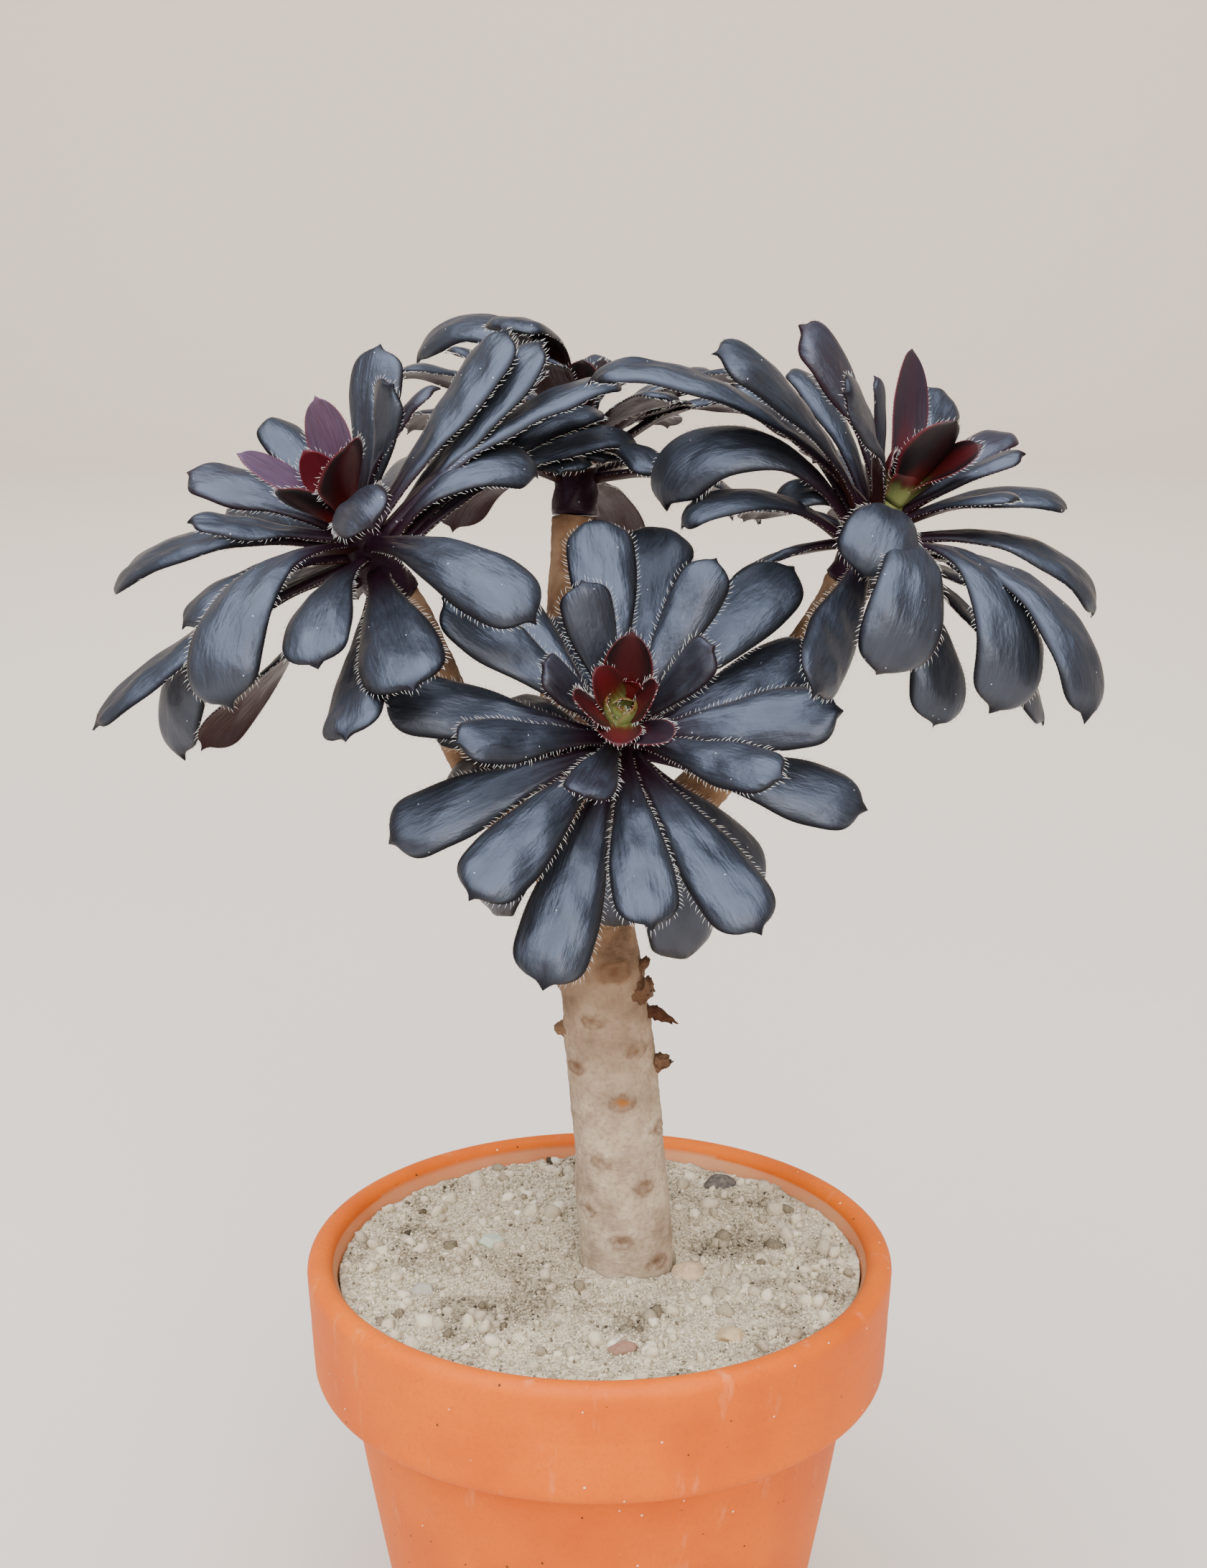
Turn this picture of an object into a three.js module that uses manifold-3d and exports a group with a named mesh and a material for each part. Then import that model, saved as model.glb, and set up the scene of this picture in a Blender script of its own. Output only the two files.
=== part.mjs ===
// A potted aeonium: a terracotta pot filled with gritty soil, a bare woody trunk that forks in four,
// and on each branch a head of near-black leaves round a heart of younger red ones.
// Millimetres, +Z up. The origin is on the pot's axis, on the surface that the pot stands on.
// The largest head looks towards -Y.
import * as THREE from 'three';
import { mergeVertices } from 'three/addons/utils/BufferGeometryUtils.js';
import Module from 'manifold-3d';

const wasm = await Module();
wasm.setup();

const GAP = 0.3;
const FULL_TURN = 2 * Math.PI;
const UP = new THREE.Vector3(0, 0, 1);

const POT = {
  height: 133, footRadius: 48, underCollarRadius: 65.5, rimRadius: 75,
  collarHeight: 31, wall: 6.5, floor: 8, drainRadius: 8, insideBends: [94, 112], sides: 40,
};
const SOIL = { level: 128, relief: 0.54, mound: 1.2, moundReach: 24, rings: 5, sides: 36 };
const TRUNK = { sides: 16, steps: 14 };

// The trunk's middle line, from its foot in the soil to the fork.
const TRUNK_LINE = [
  [7.3, 0, 78], [7.3, 0, 118], [6.4, 0, 140], [4.6, 0, 166], [2, 0, 192], [-1, -1, 216],
  [-3.4, -2, 238],
];
const TRUNK_RADII = [12.2, 12.2, 12, 11.6, 11.2, 10.4, 8.4];

const GOLDEN_ANGLE = 137.508;

// A head is a tip in space, an axis that leans from the vertical towards a heading (0 is -Y, 90 is +X),
// and leaves numbered from the youngest outwards, each a golden angle on from the last.
// rise, droop, length and width are pairs of leaf number and value, read between the pairs.
// seen gives single leaves that the plant grew its own way:
// number: [turned from its place, rise, droop, length, width, twist], in degrees and millimetres.
const HEADS = [
  {
    name: 'front', tip: [5, -50, 281.7], lean: 48, toward: 3, hand: 1, phase: 180, count: 36,
    heart: [0, 1, 2, 3, 4, 5],
    rise: [[0, 85], [3, 74], [6, 58], [9, 44], [12, 30], [16, 16], [22, 4], [30, -16], [37, -40]],
    droop: [[0, -10], [6, -2], [14, 10], [24, 18], [37, 24]],
    length: [[0, 6], [2, 12], [4, 20], [6, 26], [9, 33], [12, 42], [16, 51], [24, 55], [37, 50]],
    width: [[0, 6], [4, 10], [8, 11], [12, 13], [16, 15.5], [22, 16.5], [37, 15]],
    seen: {
      0: [8, 45, 5, 18, 10], 1: [-7, 70, 20, 16, 9], 2: [6, 68, -12, 19, 9, -8],
      3: [9, 60, -8, 25, 9, 12], 4: [0, 66, -5, 23, 11], 5: [0, 48, 0, 22, 10],
      6: [0, 56, 0, 26, 10], 7: [9, 54, -10, 30, 10, -10], 8: [0, 36, 0, 30, 11],
      9: [4, 44, 0, 32, 12], 10: [12, 34, 4, 43, 13], 11: [-3, 34, 6, 41, 12], 12: [2, 30, 8, 42, 12],
      13: [8, 18, 8, 51, 14], 15: [8, 20, 12, 46, 16], 16: [-2, 16, 12, 52, 16],
      17: [-2, 15, 12, 52, 16], 18: [16, 12, 12, 54, 16], 19: [8, 11, 14, 50, 16],
      20: [-7, 9, 14, 58, 17], 21: [10, 4, 14, 57, 17], 23: [3, 4, 16, 53, 16],
      24: [8, 2, 16, 52, 16], 25: [-6, 2, 16, 63, 18], 26: [3, -20, 50, 50, 16],
      27: [0, -14, 20, 44, 15], 28: [-10, 3, 18, 53, 16], 29: [26, -26, 58, 52, 15, 6],
      31: [0, -28, 20, 44, 15], 32: [20, -29, 20, 46, 15, -10], 34: [5, -46, 20, 40, 14],
      35: [0, -24, 20, 38, 13],
    },
  },
  {
    name: 'left', tip: [-57.6, -25, 323.7], lean: 33, toward: -55, hand: -1, phase: 140, count: 35,
    heart: [0, 1, 2, 3, 4, 5],
    rise: [[0, 85], [4, 70], [8, 48], [12, 42], [16, 28], [22, 16], [30, -6], [37, -24]],
    droop: [[0, -10], [8, 8], [14, 25], [24, 40], [37, 30]],
    length: [[0, 8], [2, 16], [5, 24], [8, 34], [12, 42], [18, 56], [24, 62], [37, 58]],
    width: [[0, 6], [4, 10], [8, 12], [12, 14], [18, 15.5], [37, 15]],
    seen: {
      1: [-12, 60, -30, 28, 12, -35], 2: [-6, 66, 6, 28, 10, 18], 3: [0, 50, 8, 31, 14],
      4: [-10, 88, -20, 20, 9], 5: [-15, 58, -5, 21, 12], 6: [12, 52, 37, 42, 9],
      7: [-15, 47, 19, 40, 14], 8: [-15, 48, 69, 40, 14, -20], 9: [6, 49, 10, 41, 14, -25],
      10: [7, 38, -5, 35, 12], 11: [-20, 54, 0, 38, 12, -50], 12: [-3, 48, 24, 39, 12, -35],
      13: [6, 36, 100, 64, 17, 30], 14: [-15, 18, 0, 58, 16, -10], 15: [-7, 32, 58, 65, 15],
      16: [-12, 7, 56, 59, 17], 17: [0, 5, 30, 48, 15], 18: [7, 33, 50, 43, 14, 5],
      19: [-39, 12, 40, 73, 15], 21: [6, 20, 46, 45, 15, 22], 22: [9, 16, 0, 61, 16, -15],
      23: [-12, 9, 27, 72, 15], 24: [-63, 24, 86, 44, 15, -35], 25: [0, -8, 30, 36, 15],
      26: [46, 14, 90, 72, 15, 50], 27: [-35, 12, 10, 64, 14], 29: [6, 2, 20, 51, 19, 12],
      30: [22, 8, 38, 72, 15, -10], 31: [-3, -13, -2, 53, 15, -70], 32: [-56, 6, 48, 74, 14, -20],
      34: [-10, -5, -5, 56, 15],
    },
  },
  {
    name: 'right', tip: [68.1, -15, 327.1], lean: 27, toward: 60, hand: 1, phase: 128, count: 35,
    heart: [0, 1, 2, 3, 6],
    rise: [[0, 85], [4, 70], [8, 50], [12, 40], [16, 30], [22, 16], [30, -4], [37, -24]],
    droop: [[0, -10], [8, 8], [14, 30], [24, 50], [37, 30]],
    length: [[0, 8], [2, 16], [5, 26], [8, 34], [12, 44], [18, 56], [24, 60], [37, 56]],
    width: [[0, 6], [4, 10], [8, 12], [12, 13], [18, 15], [37, 14]],
    seen: {
      2: [0, 58, 20, 37, 11, -18], 3: [-13, 66, 7, 24, 10, -50], 4: [17, 58, 39, 47, 13, 42],
      5: [6, 46, 30, 41, 12, 20], 6: [-28, 80, 0, 25, 14], 7: [-21, 69, 9, 30, 8],
      8: [-3, 59, 17, 32, 9], 9: [2, 57, 38, 43, 14, 50], 10: [8, 48, 25, 40, 14, -10],
      11: [-28, 50, 20, 30, 11], 12: [-6, 25, 58, 78, 14, 6], 13: [24, 46, 47, 43, 12],
      14: [-4, 42, 133, 38, 18], 15: [-12, 37, 35, 45, 12], 16: [-10, 2, 57, 52, 12, -30],
      17: [9, 43, 37, 60, 14, 30], 19: [13, 30, 142, 59, 18], 20: [-13, 36, 35, 45, 12],
      21: [15, 33, 74, 57, 14, -15], 22: [66, 34, 130, 24, 14, 24], 24: [16, 37, 137, 68, 17, -22],
      25: [2, 39, 150, 63, 18, 42], 26: [32, -17, 22, 70, 14, -26], 27: [8, -13, 0, 60, 15, 45],
      28: [0, -8, 40, 37, 13], 29: [38, 38, 104, 76, 16, -8], 30: [27, 20, 90, 46, 13],
      31: [-7, 5, 54, 49, 13], 32: [-9, -2, 78, 45, 15, -22], 33: [0, -35, 50, 36, 13],
      34: [-4, 3, 44, 66, 12],
    },
  },
  {
    name: 'back', tip: [-5.4, 38, 339.4], lean: 12, toward: 170, hand: 1, phase: 20, count: 31,
    heart: [0, 1, 2, 3, 4, 5],
    rise: [[0, 85], [4, 72], [8, 60], [12, 50], [18, 38], [24, 24], [30, 8], [37, -10]],
    droop: [[0, -10], [8, 20], [14, 50], [24, 75], [37, 70]],
    length: [[0, 8], [2, 14], [5, 24], [8, 34], [12, 44], [18, 54], [24, 58], [37, 54]],
    width: [[0, 6], [4, 10], [8, 12], [12, 14], [18, 16], [37, 15]],
    seen: {
      5: [0, 50, 0, 20, 10], 7: [0, 30, 20, 28, 10], 10: [0, 25, 30, 38, 12],
      13: [0, 51, 30, 30, 12], 18: [0, 15, 60, 24, 14], 20: [0, 45, 95, 62, 13],
      21: [-4, 92, 130, 53, 16, 15], 23: [20, 15, 60, 44, 14], 24: [27, 88, 150, 74, 16, 50],
      26: [0, 10, 40, 34, 14], 28: [0, 10, 60, 46, 14], 29: [0, 14, 60, 40, 14],
    },
  },
];

// Every leaf springs from a short stem at the head's centre, the older the lower.
const LEAF_SINK = [[0, 0], [6, 3], [37, 18]];
const LEAF_ROOT = [[0, 0.5], [6, 3], [20, 5], [37, 6]];
// The core carries the dark leaves, and the bud on top of it carries the heart.
// A profile's points are [radius, height over the head's tip].
const CORE = { bottom: -23, radius: 6, sides: 10 };
const CORE_PROFILE = [[0, CORE.bottom], [CORE.radius, CORE.bottom], [4.6, -3], [0, -3]];
const BUD_PROFILE = [[0, -3 + GAP], [3.2, -3 + GAP], [2.6, 0], [0, 2]];
const DARK_LEAF = { leastSink: 4, leastRoot: 3 };
const HEART_LEAF = { mostSink: 1.6, mostRoot: 2 };

// A blade is a narrow claw that widens to a blunt round end with a small point. A higher endPower makes
// the end squarer. The edges are lifted by the cup, a share of the half width, and the foot runs on
// into the core.
const BLADE = { widest: 0.76, claw: 0.3, endPower: 3.1, rootThickness: 2.6, tipThickness: 1.3, bend: 1.6 };
const BURIED = { dark: 2.8, heart: 1.2 };
const CUP = { dark: 0.06, heart: 0.3 };
const STATIONS = { dark: [0, 0.22, 0.45, 0.67, 0.84, 0.95, 1], heart: [0, 0.3, 0.6, 0.85, 1] };

const BRANCH = { forkRadius: 7.4, neck: 7, sides: 10, steps: 8 };
// Each branch leaves the trunk at a height and swings out past one middle point.
const BRANCH_LINES = {
  front: { from: [-2.6, -2, 232], past: [1, -10, 248] },
  left: { from: [-2.6, -1, 228], past: [-24, -4, 250] },
  right: { from: [-2.2, 0, 226], past: [26, 2, 254] },
  back: { from: [-3, 2, 230], past: [-9, 22, 266] },
};

// Oval scars where old leaves stood: heading round the trunk, height, half width.
const SCARS = [
  [23, 210, 4.2], [-17, 197, 2.6], [40, 189, 2.8], [-50, 184, 2.8], [11, 176, 3], [60, 167, 2.8],
  [-23, 160, 2.6], [29, 153, 2.6], [-50, 146, 2.8], [-4, 139, 2.7], [42, 132, 3], [96, 206, 3],
  [140, 190, 3], [180, 208, 3], [225, 182, 3], [170, 160, 2.8], [115, 146, 2.8], [250, 152, 3],
  [205, 136, 2.8],
];
const SCAR = { across: 0.7, proud: 0.5 };
// Dried leaf bases that still stand out: heading, height, length, tilt upwards.
const STUBS = [[78, 201, 4, 30], [84, 194, 7, 4], [82, 181, 4, 10], [-82, 204, 4, 0], [-86, 191, 3, 10]];
const STUB = { halfWidth: 2, halfThickness: 0.8 };

// Pebbles lying in the grit: centre on the soil, half sizes, turn. Each is sunk by a share of its height.
const PEBBLE_SUNK = 0.3;
const PEBBLES = [
  { name: 'pebble_pale', at: [-28.5, 12], half: [3.6, 3, 2.4], turn: 20, colour: 0xbfc9b4 },
  { name: 'pebble_buff', at: [22.5, -7], half: [5.2, 3.6, 2.8], turn: 35, colour: 0xc2a585 },
  { name: 'pebble_red', at: [5.5, -46], half: [3.8, 2.6, 2.2], turn: -15, colour: 0x8b5f4c },
  { name: 'pebble_dark', at: [33.5, 48], half: [5.4, 4, 2.6], turn: 10, colour: 0x4b4643 },
  { name: 'pebble_grey', at: [-44.5, -15], half: [3.4, 2.8, 2], turn: 50, colour: 0xb3ada0 },
  { name: 'pebble_tan', at: [31.5, -40], half: [4.2, 3, 1.8], turn: -30, colour: 0xc4a77e },
];

const radians = THREE.MathUtils.degToRad;
const smooth = THREE.MathUtils.smoothstep;

function between(pairs, x) {
  const next = pairs.findIndex(([key]) => key >= x);
  if (next <= 0) return pairs[next === 0 ? 0 : pairs.length - 1][1];
  const [x0, y0] = pairs[next - 1];
  const [x1, y1] = pairs[next];
  return y0 + (y1 - y0) * (x - x0) / (x1 - x0);
}

// Closed solids and their joins
function geometryFrom(vertices, triangles) {
  const geometry = new THREE.BufferGeometry();
  geometry.setAttribute('position', new THREE.Float32BufferAttribute(vertices, 3));
  geometry.setIndex(triangles);
  return geometry;
}

function isInsideOut(geometry) {
  const p = geometry.attributes.position;
  const corner = [0, 1, 2].map(() => new THREE.Vector3());
  let volume = 0;
  for (let i = 0; i < geometry.index.count; i += 3) {
    corner.forEach((c, j) => c.fromBufferAttribute(p, geometry.index.getX(i + j)));
    volume += corner[0].dot(corner[1].cross(corner[2]));
  }
  return volume < 0;
}

function solidOf(source) {
  const bare = source.clone();
  bare.deleteAttribute('normal');
  bare.deleteAttribute('uv');
  const geometry = mergeVertices(bare, 1e-4);
  const triangles = [];
  const index = geometry.index.array;
  for (let i = 0; i < index.length; i += 3) {
    const [a, b, c] = [index[i], index[i + 1], index[i + 2]];
    if (a !== b && b !== c && c !== a) triangles.push(a, b, c);
  }
  geometry.setIndex(triangles);
  if (isInsideOut(geometry)) triangles.reverse();
  return new wasm.Manifold(new wasm.Mesh({
    numProp: 3,
    vertProperties: new Float32Array(geometry.attributes.position.array),
    triVerts: new Uint32Array(triangles),
  }));
}

function geometryOf(solid) {
  const { vertProperties, triVerts } = solid.getMesh();
  return geometryFrom(Array.from(vertProperties), Array.from(triVerts));
}

const joined = (solids) => solids.reduce((whole, solid) => whole.add(solid));

function largestBody(solid) {
  return solid.decompose().reduce((a, b) => (a.volume() > b.volume() ? a : b));
}

// A closed skin over rings of equal length, with a flat cap or a single point at each end.
function skin(rings) {
  const vertices = rings.flat().flatMap((v) => [v.x, v.y, v.z]);
  const starts = [];
  rings.reduce((start, ring) => (starts.push(start), start + ring.length), 0);
  const triangles = [];
  const cap = (start, count, flip) => {
    for (let i = 1; i < count - 1; i += 1) {
      triangles.push(start, start + (flip ? i + 1 : i), start + (flip ? i : i + 1));
    }
  };
  for (let r = 1; r < rings.length; r += 1) {
    const [a, b] = [starts[r - 1], starts[r]];
    const sides = Math.max(rings[r - 1].length, rings[r].length);
    for (let i = 0; i < sides; i += 1) {
      const j = (i + 1) % sides;
      if (rings[r].length === 1) triangles.push(a + i, a + j, b);
      else triangles.push(a + i, a + j, b + j, a + i, b + j, b + i);
    }
  }
  cap(starts[0], rings[0].length, true);
  cap(starts.at(-1), rings.at(-1).length, false);
  return geometryFrom(vertices, triangles);
}

function turnedShape(profile, sides) {
  return new THREE.LatheGeometry(profile, sides).rotateX(Math.PI / 2);
}

// The pot: outer wall, rolled rim, collar and a plain foot with its drainage hole
function innerRadius(z) {
  const slope = (POT.underCollarRadius - POT.footRadius) / (POT.height - POT.collarHeight);
  const body = POT.footRadius + slope * z - POT.wall;
  const flare = smooth(z, POT.height - POT.collarHeight - 12, POT.height - 8);
  return body + flare * (POT.rimRadius - POT.wall - 1 - body);
}

function makePot() {
  const { height, footRadius, underCollarRadius, rimRadius, floor, drainRadius } = POT;
  const collarFoot = height - POT.collarHeight;
  const lipInner = rimRadius - POT.wall;
  const outline = new THREE.Path();
  outline.moveTo(drainRadius, 0);
  outline.lineTo(footRadius - 1.5, 0);
  outline.quadraticCurveTo(footRadius, 0, footRadius + 0.3, 1.6);
  outline.lineTo(underCollarRadius, collarFoot);
  outline.lineTo(rimRadius - 3.6, collarFoot);
  outline.quadraticCurveTo(rimRadius - 1.4, collarFoot, rimRadius - 1.2, collarFoot + 3);
  outline.lineTo(rimRadius, height - 4);
  outline.quadraticCurveTo(rimRadius, height, rimRadius - 3, height);
  outline.quadraticCurveTo(lipInner, height, lipInner, height - 3.4);
  const profile = outline.getPoints(2);
  for (const z of [height - 8, ...POT.insideBends.toReversed(), floor]) {
    profile.push(new THREE.Vector2(innerRadius(z), z));
  }
  profile.push(new THREE.Vector2(drainRadius, floor), profile[0].clone());
  return solidOf(turnedShape(profile, POT.sides));
}

// The soil: fills the pot 0.3 mm clear of the wall, gently uneven, raised a little at the trunk
function soilHeight(x, y) {
  const waves = Math.sin(x / 9 + 1) * Math.cos(y / 11) + 0.6 * Math.sin(x / 5 - y / 7);
  const fromTrunk = Math.hypot(x - TRUNK_LINE[1][0], y - TRUNK_LINE[1][1]);
  return SOIL.level + SOIL.relief * waves + SOIL.mound * Math.exp(-((fromTrunk / SOIL.moundReach) ** 2));
}

function makeSoil(trunkHole, pebbles) {
  const ring = (radius, height) => Array.from({ length: SOIL.sides }, (_, i) => {
    const angle = FULL_TURN * i / SOIL.sides;
    const [x, y] = [radius * Math.cos(angle), radius * Math.sin(angle)];
    return new THREE.Vector3(x, y, height ?? soilHeight(x, y));
  });
  const foot = POT.floor + GAP;
  const rings = [ring(innerRadius(foot) - GAP, foot)];
  for (const z of POT.insideBends) rings.push(ring(innerRadius(z) - 2 * GAP, z));
  const edge = innerRadius(SOIL.level) - 3 * GAP;
  for (let i = SOIL.rings; i > 0; i -= 1) rings.push(ring(edge * i / SOIL.rings));
  rings.push([new THREE.Vector3(0, 0, soilHeight(0, 0))]);
  const fill = solidOf(skin(rings)).subtract(trunkHole);
  return largestBody(pebbles.reduce((rest, pebble) => rest.subtract(pebbleSolid(pebble, GAP)), fill));
}

function pebbleSolid({ at, half, turn }, grown = 0) {
  const stone = new THREE.IcosahedronGeometry(1, 1);
  stone.scale(half[0] + grown, half[1] + grown, half[2] + grown);
  stone.rotateZ(radians(turn));
  stone.translate(at[0], at[1], soilHeight(at[0], at[1]) - PEBBLE_SUNK * half[2]);
  return solidOf(stone);
}

// Woody parts: lofts of round sections along a smooth line
const smoothLine = (points) => (
  new THREE.CatmullRomCurve3(points.map((p) => new THREE.Vector3(...p)), false, 'centripetal'));

const radiusAt = (radii, t) => between(radii.map((radius, i) => [i / (radii.length - 1), radius]), t);

function tube(points, radii, sides, steps, { start, end } = {}) {
  const line = smoothLine(points);
  let across = new THREE.Vector3(1, 0, 0);
  const rings = [];
  for (let i = 0; i <= steps; i += 1) {
    const t = i / steps;
    const centre = line.getPoint(t);
    let tangent = line.getTangent(t);
    if (i === 0 && start) tangent = start;
    if (i === steps && end) tangent = end;
    across = across.clone().addScaledVector(tangent, -across.dot(tangent)).normalize();
    const other = new THREE.Vector3().crossVectors(tangent, across);
    const radius = radiusAt(radii, t);
    rings.push(Array.from({ length: sides }, (_, j) => {
      const angle = FULL_TURN * j / sides;
      return centre.clone()
        .addScaledVector(across, radius * Math.cos(angle))
        .addScaledVector(other, radius * Math.sin(angle));
    }));
  }
  return solidOf(skin(rings));
}

function trunkSurface(heading, z) {
  const line = smoothLine(TRUNK_LINE);
  const step = 0.005;
  let t = 0;
  while (t < 1 && line.getPoint(t).z < z) t += step;
  const outward = new THREE.Vector3(Math.sin(radians(heading)), -Math.cos(radians(heading)), 0);
  return { outward, point: line.getPoint(t).addScaledVector(outward, radiusAt(TRUNK_RADII, t)) };
}

function onTrunk(geometry, heading, z, sunk) {
  const { outward, point } = trunkSurface(heading, z);
  const sideways = new THREE.Vector3().crossVectors(UP, outward);
  geometry.applyMatrix4(new THREE.Matrix4().makeBasis(sideways, UP, outward));
  return solidOf(geometry.translate(...point.addScaledVector(outward, -sunk)));
}

function scar([heading, z, half]) {
  const oval = new THREE.SphereGeometry(1, 7, 3).scale(half, half * SCAR.across, 2 * SCAR.proud);
  return onTrunk(oval, heading, z, SCAR.proud);
}

function stub([heading, z, length, tilt]) {
  const chip = new THREE.CylinderGeometry(0.5, 1, length + 2, 6);
  chip.scale(STUB.halfWidth, 1, STUB.halfThickness).rotateX(Math.PI / 2 - radians(tilt));
  return onTrunk(chip, heading, z, 1 - length / 2);
}

function branch(head, grown = 0) {
  const { from, past } = BRANCH_LINES[head.name];
  const end = head.tip.clone().addScaledVector(head.axis, CORE.bottom - GAP + grown);
  const before = end.clone().addScaledVector(head.axis, -BRANCH.neck);
  const points = [from, past, before.toArray(), end.toArray()];
  const radii = [BRANCH.forkRadius, BRANCH.forkRadius - 1, CORE.radius - 0.4, CORE.radius];
  const skinRadii = radii.map((radius) => radius + grown);
  return tube(points, skinRadii, BRANCH.sides, BRANCH.steps, { end: head.axis });
}

function makeTrunk(heads) {
  const trunk = tube(TRUNK_LINE, TRUNK_RADII, TRUNK.sides, TRUNK.steps, { start: UP });
  return joined([trunk, ...heads.map((head) => branch(head)), ...SCARS.map(scar), ...STUBS.map(stub)]);
}

function makeTrunkHole() {
  const [x, y, foot] = TRUNK_LINE[0];
  const points = [foot - GAP, POT.height].map((z) => [x, y, z]);
  const radius = TRUNK_RADII[0] + GAP;
  return tube(points, [radius, radius], TRUNK.sides, 1, { start: UP });
}

// Heads of leaves
function placeHead(head) {
  const [lean, toward] = [radians(head.lean), radians(head.toward)];
  const axis = new THREE.Vector3(
    Math.sin(lean) * Math.sin(toward), -Math.sin(lean) * Math.cos(toward), Math.cos(lean));
  const uphill = UP.clone().addScaledVector(axis, -axis.z).normalize();
  const side = new THREE.Vector3().crossVectors(uphill, axis);
  return { ...head, tip: new THREE.Vector3(...head.tip), axis, uphill, side };
}

function leavesOf(head) {
  return Array.from({ length: head.count }, (_, number) => {
    const isHeart = head.heart.includes(number);
    const [turned, rise, droop, length, width, twist = 0] = head.seen[number] ?? [
      0, between(head.rise, number), between(head.droop, number),
      between(head.length, number), between(head.width, number),
    ];
    const sink = between(LEAF_SINK, number);
    const root = between(LEAF_ROOT, number);
    return {
      number, isHeart, rise, droop, length, width, twist,
      turn: head.phase + head.hand * GOLDEN_ANGLE * number + turned,
      sink: isHeart ? Math.min(sink, HEART_LEAF.mostSink) : Math.max(sink, DARK_LEAF.leastSink),
      root: isHeart ? Math.min(root, HEART_LEAF.mostRoot) : Math.max(root, DARK_LEAF.leastRoot),
    };
  });
}

// Half width of a blade at t, as a share of its widest
function bladeOutline(t) {
  if (t > BLADE.widest) return Math.sqrt(1 - ((t - BLADE.widest) / (1 - BLADE.widest)) ** BLADE.endPower);
  return BLADE.claw + (1 - BLADE.claw) * smooth(t, 0.05, BLADE.widest) ** 1.15;
}

function blade(head, leaf, grown = 0) {
  const kind = leaf.isHeart ? 'heart' : 'dark';
  const mixed = (a, b, angle) => (
    a.clone().multiplyScalar(Math.cos(angle)).addScaledVector(b, Math.sin(angle)));
  const radial = mixed(head.uphill, head.side, radians(leaf.turn));
  const across = new THREE.Vector3().crossVectors(radial, head.axis);
  const slope = (t) => radians(leaf.rise - leaf.droop * t ** BLADE.bend);
  const point = head.tip.clone()
    .addScaledVector(head.axis, -leaf.sink)
    .addScaledVector(radial, leaf.root);
  const rings = [];
  let last = 0;
  for (const t of STATIONS[kind]) {
    const step = mixed(radial, head.axis, slope((t + last) / 2));
    point.addScaledVector(step, leaf.length * (t - last));
    last = t;
    const along = mixed(radial, head.axis, slope(t));
    if (t === 1) {
      rings.push([point.clone().addScaledVector(along, grown)]);
      break;
    }
    const twist = -radians(leaf.twist) * t;
    const upward = new THREE.Vector3().crossVectors(across, along).applyAxisAngle(along, twist);
    const sideways = across.clone().applyAxisAngle(along, twist);
    const half = leaf.width / 2 * bladeOutline(t) + grown;
    const thickness = THREE.MathUtils.lerp(BLADE.rootThickness, BLADE.tipThickness, t) / 2 + grown;
    const middle = point.clone().addScaledVector(along, t === 0 ? -BURIED[kind] : 0);
    const edges = middle.clone().addScaledVector(upward, CUP[kind] * half);
    rings.push([
      edges.clone().addScaledVector(sideways, half),
      middle.clone().addScaledVector(upward, thickness),
      edges.clone().addScaledVector(sideways, -half),
      middle.clone().addScaledVector(upward, -thickness),
    ]);
  }
  return solidOf(skin(rings));
}

function core(head, profile, grown = 0) {
  const points = profile.map(([r, h]) => new THREE.Vector2(r && r + grown, h + (h > 0 ? grown : 0)));
  const shape = new THREE.LatheGeometry(points, CORE.sides);
  const turn = new THREE.Quaternion().setFromUnitVectors(new THREE.Vector3(0, 1, 0), head.axis);
  return solidOf(shape.applyQuaternion(turn).translate(...head.tip));
}

function makeHeart(head, grown = 0) {
  const leaves = leavesOf(head).filter((leaf) => leaf.isHeart);
  const blades = leaves.map((leaf) => blade(head, leaf, grown));
  return largestBody(joined([core(head, BUD_PROFILE, grown), ...blades]));
}

function makeRosette(head) {
  const leaves = leavesOf(head).filter((leaf) => !leaf.isHeart);
  const whole = joined([core(head, CORE_PROFILE), ...leaves.map((leaf) => blade(head, leaf))]);
  return largestBody(whole.subtract(makeHeart(head, GAP)).subtract(branch(head, GAP)));
}

const FINISH = {
  terracotta: { color: 0xd0703c, roughness: 0.7, metalness: 0 },
  soil: { color: 0x9a8f7f, roughness: 1, metalness: 0 },
  bark: { color: 0xa08c78, roughness: 0.85, metalness: 0 },
  darkLeaf: { color: 0x24222a, roughness: 0.4, metalness: 0 },
  heartLeaf: { color: 0x6e1620, roughness: 0.45, metalness: 0 },
};

const model = new THREE.Group();
function addPiece(name, solid, finish) {
  const piece = new THREE.Mesh(geometryOf(solid), new THREE.MeshStandardMaterial(finish));
  piece.name = name;
  model.add(piece);
}

const heads = HEADS.map(placeHead);
const trunk = makeTrunk(heads);
addPiece('pot', makePot(), FINISH.terracotta);
addPiece('soil', makeSoil(makeTrunkHole(), PEBBLES), FINISH.soil);
for (const pebble of PEBBLES) {
  addPiece(pebble.name, pebbleSolid(pebble), { color: pebble.colour, roughness: 0.9, metalness: 0 });
}
addPiece('trunk', trunk, FINISH.bark);
for (const head of heads) {
  addPiece(`rosette_${head.name}`, makeRosette(head), FINISH.darkLeaf);
  addPiece(`heart_${head.name}`, makeHeart(head), FINISH.heartLeaf);
}

export default model;
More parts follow.
